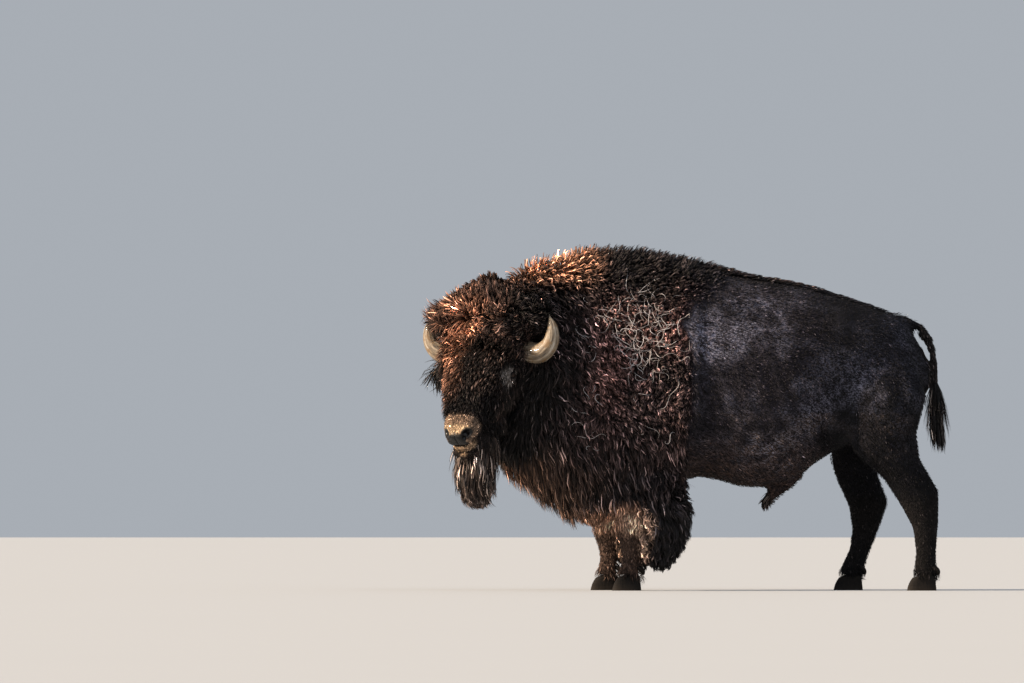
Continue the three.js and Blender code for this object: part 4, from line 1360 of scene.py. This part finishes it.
def tail_shape(points, normals, hair):
    """Hair lies down along the tail, close behind and fuller under the dock."""
    under = ramp(1.2, 1.36, points[:, 2]) * ramp(-0.2, 0.6, -normals[:, 0] - 0.5 * normals[:, 2])
    hair.stand = 0.0035 + 0.015 * under
    hair.length = 0.024 + 0.008 * under


def spine_weight(points, hair):
    """A weight for roots along the ridge of the back."""
    hind = hair.shares["barrel"] + hair.shares["haunch"]
    ridge = ramp(0.06, 0.01, np.abs(points[:, 1] - MIDLINE)) * ramp(1.2, 1.35, points[:, 2])
    return hind * ridge * ramp(1.15, 0.6, points[:, 0])


def spine_shape(points, normals, hair):
    """A low crest of brown hair that leans back."""
    hair.lie = np.tile((1.0, 0.0, -0.1), (len(points), 1))
    hair.length = np.full(len(points), 0.048)
    hair.stand = 0.008 + 0.01 * ramp(0.7, 0.1, points[:, 0])
    hair.curl = np.full(len(points), 0.003)
    hair.swirl = np.full(len(points), 0.45)


def muzzle_weight(points, hair):
    """A weight for roots on the muzzle, clear of the bare nose."""
    return hair.shares["muzzle"] * (1 - nose_pad(points))


def body_coat():
    """Every piece of coat that grows from the skin by its regions."""
    cape, dark, short = "cape_wool", "dark_hair", "short_coat"
    legs = share_of("forearm", "fore_shank", "hind_shank")
    coat("crown_wool", share_of("crown"), 8200, 3, 0.0068, WOOL, cape, 101, crown_shape, 0.92, (0.14, 3.4))
    coat("face_hair", share_of("face"), 10500, 2, 0.0052, MANE, dark, 102, face_shape)
    coat("muzzle_hair", muzzle_weight, 6000, 1, 0.003, SHORT, dark, 103)
    for side, sign in (("left", -1), ("right", 1)):
        neck = on_side(share_of("neck", "chest"), sign)
        shoulder = on_side(share_of("shoulder"), sign)
        flank = on_side(share_of("barrel", "haunch", "thigh"), sign)
        ruff = ruff_weight(side)
        mane = 110 + sign, chest_shape, 0.95, (0.17, 4.4)
        wool = 120 + sign, None, 0.8, (0.11, 3.2)
        pelt = 130 + sign, flank_shape, 0.65, (0.16, 1.9)
        coat(side + "_neck_mane", neck, 6700, 3, 0.007, MANE, cape, *mane)
        coat(side + "_shoulder_wool", shoulder, 10200, 2, 0.0062, WOOL, cape, *wool)
        coat(side + "_flank_hair", flank, 13500, 1, 0.0044, SHORT, short, *pelt)
        coat(side + "_horn_ruff", ruff, 1000, 3, 0.0062, MANE, dark, 140 + sign, ruff_shape(side))
    coat("hump_wool", share_of("hump"), 10600, 2, 0.006, WOOL, cape, 104, hump_shape, 0.72, (0.12, 2.4))
    coat("chap_hair", share_of("chap"), 6200, 3, 0.0072, MANE, cape, 105, chap_shape)
    coat("leg_hair", legs, 12500, 1, 0.0035, SHORT, dark, 106, leg_shape, 0.75, (0.14, 2.0))
    coat("ear_hair", ear_weight, 1000, 2, 0.004, MANE, dark, 109, ear_shape)
    coat("spine_fringe", spine_weight, 3000, 2, 0.005, MANE, short, 113, spine_shape)
    coat("tail_hair", share_of("tail"), 2200, 2, 0.0046, MANE, dark, 116, tail_shape)


body_coat()


def nearest_uv(points, lowest, highest):
    """The unwrap's place at the skin triangle nearest each point, out of those inside a box."""
    centres = SKIN["points"][SKIN["triangles"]].mean(axis=1)
    close = np.flatnonzero(np.all((centres > lowest) & (centres < highest), axis=1))
    found = []
    for part in np.array_split(points, 1 + len(points) * len(close) // 3000000):
        away = ((part[:, None] - centres[close][None]) ** 2).sum(axis=2)
        found.append(close[np.argmin(away, axis=1)])
    return SKIN["uv"][np.concatenate(found)].mean(axis=1)


def hank(name, line, ovals, axes, count, rings, width, tint, seed, spread, spans, flare, bright):
    """Long dark hair along a line, in shingled locks: each tuft leaves the line and ends near its oval.

    Roots reach up to spread along the line, and each tuft covers between the two spans of it.
    flare opens the tips, and bright is the brightness of guard hairs.
    """
    rng = np.random.default_rng(seed)
    sideways, forwards = (np.asarray(a, float) for a in axes)
    angle = 2 * np.pi * rng.random(count)
    reach = 0.45 + 0.55 * np.sqrt(rng.random(count))
    start = spread * rng.random(count) ** 0.85
    root = curve_at(line, start) + 0.9 * through(ovals, start)[:, :1] * (
        np.cos(angle)[:, None] * sideways + np.sin(angle)[:, None] * forwards
    )
    place, owner, _, _ = cells_of(root, 0.03, seed)
    luck = [hashed(owner, seed + k) for k in range(4)]
    end = start + (spans[0] + (spans[1] - spans[0]) * luck[0]) * (0.8 + 0.4 * rng.random(count))
    end = np.minimum(end, 0.9 + 0.1 * luck[1] + 0.04 * rng.random(count))
    s = np.linspace(0, 1, rings + 2)[None]
    t = start[:, None] + (end - start)[:, None] * s
    oval = through(ovals, t)
    grow = reach[:, None] * (0.55 + 0.45 * np.minimum(1.0, 2.0 * s))
    wave = 2 * np.pi * (1.1 * s + luck[2][:, None] + 0.2 * rng.random((count, 1)))
    swing = flare * (0.45 * np.sin(wave) * s + (luck[1][:, None] - 0.5) * s**1.5)
    swing += 0.012 * (rng.random((count, 1)) - 0.5) * s**2
    wild = flare * (2.6 * luck[2][:, None] ** 3 + 0.5 * rng.random((count, 1))) * s**1.7
    across = np.cos(angle)[:, None] * (oval[..., 0] * grow + wild) + swing
    ahead = np.sin(angle)[:, None] * (oval[..., 1] * grow + wild) + 0.6 * swing[:, ::-1] * s
    paths = curve_at(line, t) + across[..., None] * sideways + ahead[..., None] * forwards
    gather = place - root
    paths = paths + gather[:, None] * (0.8 * s**1.2)[..., None]
    outwards = unit(np.cos(angle)[:, None] * sideways + np.sin(angle)[:, None] * forwards)
    uv = nearest_uv(paths[:, 0], paths.min(axis=(0, 1)) - 0.06, paths.max(axis=(0, 1)) + 0.06)
    shades = np.exp(0.95 * rng.standard_normal(count) + 2.2 * (luck[3] - 0.5))
    guard = rng.random(count) < 0.14
    shades *= np.where(guard, bright, 0.8)
    shades *= 0.3 + 0.7 * ramp(0.02, 0.22, start)
    tints = blended(np.tile(tint, (count, 1)), (0.3, 0.25, 0.22), 0.25 * guard)
    half = width * (0.6 + 0.8 * rng.random(count)) / 2
    paths[..., 2] = np.maximum(paths[..., 2], CLEAR)
    piece = spindles(paths, outwards, half, half * 0.7, uv, tints, shades, name, MANE)
    settled(piece, "dark_hair")


# Each line runs from root to tip, and an oval is a place on it with its half width and half depth.
BEARD_LOW = low("beard")[2]
BEARD_HEIGHTS = np.array([0.47, 0.38, 0.28, 0.18, 0.08, 0.026, 0.0])
BEARD_AHEAD = np.array([0.06, 0.12, 0.152, 0.164, 0.166, 0.15, 0.14])
BEARD_LINE = np.array([
    HEAD_AT * (1, 1, 0) + (BEARD_LOW + h) * UP + a * AHEAD for h, a in zip(BEARD_HEIGHTS, BEARD_AHEAD)
])
BEARD_OVALS = [
    [0.0, 0.07, 0.066], [0.17, 0.09, 0.112], [0.33, 0.1, 0.126], [0.5, 0.096, 0.112],
    [0.67, 0.074, 0.08], [0.85, 0.04, 0.04], [1.0, 0.006, 0.006],
]

TAIL_END = middle("tail_switch") * (1, 1, 0) + high("tail_switch")[2] * UP
SWITCH_STEPS = (
    (0.04, 1.085), (0.042, 1.029), (0.046, 0.95), (0.052, 0.85), (0.06, 0.765), (0.066, 0.702)
)
SWITCH_LINE = np.array([[low("tail_switch")[0] + dx, TAIL_END[1], z] for dx, z in SWITCH_STEPS])
SWITCH_OVALS = [
    [0.0, 0.012, 0.014], [0.2, 0.026, 0.03], [0.4, 0.036, 0.04], [0.65, 0.036, 0.038],
    [0.85, 0.02, 0.026], [1.0, 0.006, 0.008],
]

SHEATH_AT = np.array([low("sheath")[0], middle("sheath")[1], low("sheath")[2]])
SHEATH_LINE = SHEATH_AT + [[0.075, 0, 0.11], [0.045, 0, 0.065], [0.026, 0, 0.025], [0.032, 0, -0.006]]
SHEATH_OVALS = [[0.0, 0.016, 0.02], [0.4, 0.02, 0.026], [0.75, 0.014, 0.018], [1.0, 0.004, 0.006]]

ACROSS = ((0, 1, 0), (1, 0, 0))
hank("beard_hair", BEARD_LINE, BEARD_OVALS, (LEFT, AHEAD), 4300, 4, 0.0072, (0.042, 0.029, 0.0235), 107,
     0.7, (0.2, 0.4), 0.017, 3.6)
hank("tail_switch_hair", SWITCH_LINE, SWITCH_OVALS, ACROSS, 600, 5, 0.0044, (0.0065, 0.0048, 0.0046), 108,
     0.6, (0.26, 0.6), 0.014, 1.6)
hank("sheath_tuft", SHEATH_LINE, SHEATH_OVALS, ACROSS, 400, 3, 0.0048, (0.014, 0.01, 0.009), 114,
     0.55, (0.35, 0.6), 0.003, 1.8)


def shed_strands(count=140, rings=9):
    """Long pale wisps of shed hair: bent lines in x and z, laid over the coat of the left shoulder."""
    rng = np.random.default_rng(115)
    outer = SKIN["outer"][SKIN["outer"][:, 1] < MIDLINE - 0.05]
    s = np.linspace(-0.5, 0.5, rings + 2)[None]
    centre_x = rng.normal(-0.2, 0.08, count)
    centre_z = rng.normal(1.3, 0.115, count)
    lone = rng.random(count) < 0.3
    centre_x[lone] = rng.uniform(-0.62, -0.04, lone.sum())
    centre_z[lone] = rng.uniform(0.72, 1.5, lone.sum())
    centre_x = np.clip(centre_x, -0.5, -0.03)
    centre_z = np.clip(centre_z, 0.7, 1.5)
    length = rng.uniform(0.05, 0.16, count)
    heading = rng.uniform(0, np.pi, count)
    bend = rng.normal(0, 2.2, (count, 1)) * s + rng.normal(0, 7.0, (count, 1)) * s**2
    turn = heading[:, None] + bend
    step = length[:, None] / (rings + 1)
    x = centre_x[:, None] + np.cumsum(np.cos(turn) * step, axis=1)
    x = np.minimum(x, 0.02)
    z = centre_z[:, None] + np.cumsum(np.sin(turn) * step, axis=1)
    flat = np.stack([x.ravel(), z.ravel()], axis=1)
    nearest = np.concatenate([
        np.argmin(((part[:, None] - outer[:, [0, 2]][None]) ** 2).sum(axis=2), axis=1)
        for part in np.array_split(flat, 30)
    ])
    y = outer[nearest, 1].reshape(x.shape)
    smooth = np.array([np.polyval(np.polyfit(s[0], row, 3), s[0]) for row in y])
    lift = 0.004 + 0.01 * rng.random((count, 1)) + 0.008 * np.sin(9 * s + 6 * rng.random((count, 1)))
    paths = np.stack([x, smooth - lift, z], axis=2)
    outwards = np.tile([0.0, -1.0, 0.0], (count, 1))
    uv = nearest_uv(paths[:, 0], paths.min(axis=(0, 1)) - 0.08, paths.max(axis=(0, 1)) + 0.08)
    tints = blended(np.tile((0.66, 0.58, 0.55), (count, 1)), (0.95, 0.92, 0.95), rng.random(count))
    half = np.full(count, 0.0012) * rng.uniform(0.6, 1.2, count)
    shades = rng.uniform(0.6, 1.3, count)
    piece = spindles(paths, outwards, half, half, uv, tints, shades, "shed_strands", WOOL)
    settled(piece, "cape_wool")


shed_strands()

# ---------------------------------------------------------------- horns, hooves, eyes

HORN_LINE = [
    [-0.03, 0.12, 0.006], [-0.015, 0.158, 0.002], [-0.008, 0.215, -0.018], [0.0, 0.285, -0.02],
    [0.008, 0.342, 0.026], [0.012, 0.358, 0.098], [0.012, 0.338, 0.172],
]
HORN_RADII = [0.054, 0.056, 0.055, 0.052, 0.043, 0.03, 0.004]


def horn(side):
    """A curved cone: an oval carried along the horn's line, ridged near its root, smooth at its tip."""
    sign = 1 if side == "left" else -1
    rows, around = 90, 40
    t = np.linspace(0, 1, rows)
    line = np.array(HORN_LINE) * (1, sign, 1)
    path = curve_at(from_level(line), t)
    way = unit(np.gradient(path, axis=0))
    reference = np.tile(AHEAD, (rows, 1))
    across = unit(reference - dot(reference, way) * way)
    up = np.cross(way, across)
    radius = curve_at([[r] for r in HORN_RADII], t)[:, 0]
    radius *= 1 - ramp(0.9, 1.0, t) * 0.4
    ridge = 0.0016 * np.sin(2 * np.pi * t * 21 + 1.3 * np.sin(9 * t)) * ramp(0.55, 0.15, t)
    radius = np.maximum(radius + ridge - 0.0012, 0.002)
    points, faces = tube(path, across, up, radius * 0.98, radius, around)
    turn = np.tile(np.linspace(0, 2 * np.pi, around, endpoint=False), rows)
    grain = np.stack([np.cos(turn), np.sin(turn), np.repeat(t, around) * 1.6], axis=1)
    grain = np.concatenate([grain, [[0, 0, 0]], [[0, 0, 1.6]]])
    flutes = 0.0009 * ripple(grain * (3, 3, 1.2), 1.0, 77)
    normal, _ = normals_at(points, as_triangles(faces))
    thick = np.append(np.repeat(radius, around) > 0.01, [0, 0])[:, None]
    points = points + flutes[:, None] * normal * thick
    along = np.concatenate([np.repeat(t, around), [0.0, 1.0]])
    faces = turned_out(points, faces, path[0], around)
    shown = {"grain": grain, "along": along}
    piece = mesh_object(side + "_horn_sheath", points, faces, HORN, values=shown)
    settled(piece, "horn", side + "_horn")


def eyeball(side):
    """A ball with a clear bulge ahead of the iris, and each point's angle from the gaze."""
    centre = EYE_AT[side]
    axis = eye_axis(side)
    points, faces = ball(centre, np.eye(3) * (EYE_RADIUS - 0.0008), 40, 56)
    away = unit(points - centre)
    angle = np.arccos(np.clip(away @ axis, -1, 1))
    points = points + (0.0018 * ramp(0.75, 0.35, angle))[:, None] * away
    level = away @ unit(FACE) * 0.75
    upright = away @ np.cross(axis, FACE) * 1.4
    inner = np.minimum(np.sqrt(level**2 + upright**2), 0.49)
    gaze = np.clip(np.where(angle < 0.5, inner, angle), 0, 1)
    piece = mesh_object(side + "_eyeball", points, faces, EYE, values={"gaze": gaze})
    settled(piece, "eye", side + "_eye")


def claw(node):
    """A hoof claw: a D-shaped outline that shrinks and slopes back from the sole to the coronet."""
    lowest, highest = low(node), high(node)
    inner = 1.0 if node.endswith("inner") else -1.0
    toward = inner * (1 if node.startswith("left") else -1)
    centre = (lowest + highest) / 2
    size = highest - lowest
    rows, around = 26, 48
    v = np.linspace(0, 1, rows)
    t = np.linspace(0, 2 * np.pi, around, endpoint=False)
    height = lowest[2] + v * (size[2] + 0.006)
    front = lowest[0] + 0.036 * v - 0.006 * np.sin(np.pi * v) + 0.016 * ramp(0.8, 1.0, v) ** 2
    back = highest[0] - 0.008 * v - 0.016 * ramp(0.8, 1.0, v) ** 2
    shrink = 1 - 0.14 * v - 0.3 * ramp(0.8, 1.0, v) ** 2
    bulge = 1 + 0.02 * np.sin(np.pi * np.clip(v / 0.5, 0, 1))
    growth = 0.008 * np.sin(2 * np.pi * v * 7) + 0.004 * np.sin(2 * np.pi * v * 17 + 1)
    ripples = 1 + growth * ramp(0.9, 0.6, v)
    c, s = np.cos(t), np.sin(t)
    toe = np.where(c < 0, 1.0 - 0.35 * c**4 * np.abs(s) ** 0.5, 1.0)
    flat = np.where(s * toward > 0, 0.8, 1.0)
    xs = np.sign(c) * np.abs(c) ** 0.85
    ys = np.sign(s) * np.abs(s) ** 0.75 * size[1] / 2 * toe * flat
    grow = (shrink * bulge * ripples)[:, None]
    x = ((front + back) / 2)[:, None] + xs[None] * ((back - front) / 2 * ripples)[:, None]
    y = centre[1] + ys[None] * (grow * 0.97 + 0.02)
    x = np.clip(x, lowest[0], highest[0])
    z = np.repeat(height[:, None], around, axis=1)
    z = z + 0.003 * ramp(0.55, 1.0, v)[:, None] * c[None]
    rings = np.stack([x, y, z], axis=-1).reshape(-1, 3)
    rings[:around, 2] = lowest[2]
    ends = np.array([rings[:around].mean(axis=0), rings[-around:].mean(axis=0) + [0, 0, 0.006]])
    points = np.concatenate([rings, ends])
    faces = [grid_faces(rows, around), end_caps(rows, around)]
    piece = mesh_object(node + "_claw", points, faces, HOOF)
    settled(piece, "hoof", node)


def dewclaw(node):
    """A dewclaw: a blunt drop shape, an oval that swells and turns down along a short curve."""
    lowest, highest = low(node), high(node)
    centre = (lowest + highest) / 2
    rows, around = 16, 24
    t = np.linspace(0, 1, rows)
    start = np.array([lowest[0] + 0.004, centre[1], highest[2] - 0.01])
    end = np.array([highest[0] - 0.006, centre[1], lowest[2] + 0.004])
    bend = np.array([highest[0] - 0.004, centre[1], centre[2] + 0.01])
    path = ((1 - t) ** 2)[:, None] * start + (2 * t * (1 - t))[:, None] * bend + (t**2)[:, None] * end
    way = unit(np.gradient(path, axis=0))
    side = np.tile([0.0, 1.0, 0.0], (rows, 1))
    up = np.cross(way, side)
    half = 0.0145 * np.sqrt(np.clip(1 - (2 * t - 0.9) ** 2 / 1.45, 0.02, 1))
    points, faces = tube(path, side, up, half, half * 0.9, around)
    faces = turned_out(points, faces, path[0], around)
    piece = mesh_object(node + "_horn", points, faces, HOOF)
    settled(piece, "hoof", node)


for one in ("left", "right"):
    horn(one)
    eyeball(one)
    for end in ("fore", "hind"):
        for place in ("outer", "inner"):
            claw(f"{one}_{end}_hoof_{place}")
            dewclaw(f"{one}_{end}_dewclaw_{place}")

# ---------------------------------------------------------------- floor, light and camera

CAMERA_AT = (-0.879, -44.875, 0.3)
CAMERA_AIM = (-0.879, 0.0, 1.267)
LENS = 310.0
SENSOR = 36.0
FLOOR_REACH = 400.0


def floor_finish():
    """A plain pale floor with the faintest mottling."""
    sheet = Sheet("studio_floor")
    soft = sheet.noise(sheet.place(), 0.6, 2.0)
    colour = sheet.mix(soft * 0.15, (0.44, 0.46, 0.48), (0.4, 0.42, 0.44))
    return sheet.finish({"Base Color": colour, "Roughness": 0.85})


def studio():
    """Floor, world light, a warm low key from the head's end, a broad fill, and the camera."""
    corners = np.array([[-1, -1, 0], [1, -1, 0], [1, 1, 0], [-1, 1, 0]]) * FLOOR_REACH
    floor = mesh_object("floor", corners, [np.array([[0, 1, 2, 3]])], floor_finish(), False)
    world = bpy.data.worlds.new("studio")
    world.use_nodes = True
    backdrop = world.node_tree.nodes["Background"]
    backdrop.inputs["Color"].default_value = (0.78, 0.84, 0.92, 1.0)
    backdrop.inputs["Strength"].default_value = 0.5
    bpy.context.scene.world = world
    for name, energy, colour, angle, turn in (
        ("key", 8.5, (1.0, 0.8, 0.6), 6.0, (64, 0, -77)),
        ("fill", 0.55, (0.86, 0.9, 1.0), 60.0, (46, 0, 12)),
    ):
        lamp = bpy.data.lights.new(name, "SUN")
        lamp.energy = energy
        lamp.color = colour
        lamp.angle = math.radians(angle)
        holder = bpy.data.objects.new(name, lamp)
        holder.rotation_euler = [math.radians(a) for a in turn]
        bpy.context.scene.collection.objects.link(holder)
    lens = bpy.data.cameras.new("camera")
    lens.lens = LENS
    lens.sensor_width = SENSOR
    lens.clip_end = 1000.0
    camera = bpy.data.objects.new("camera", lens)
    camera.location = CAMERA_AT
    pitch = math.atan2(CAMERA_AIM[2] - CAMERA_AT[2], CAMERA_AIM[1] - CAMERA_AT[1])
    camera.rotation_euler = (math.pi / 2 + pitch, 0.0, 0.0)
    bpy.context.scene.collection.objects.link(camera)
    bpy.context.scene.camera = camera
    bpy.context.scene.view_settings.view_transform = "Standard"


studio()
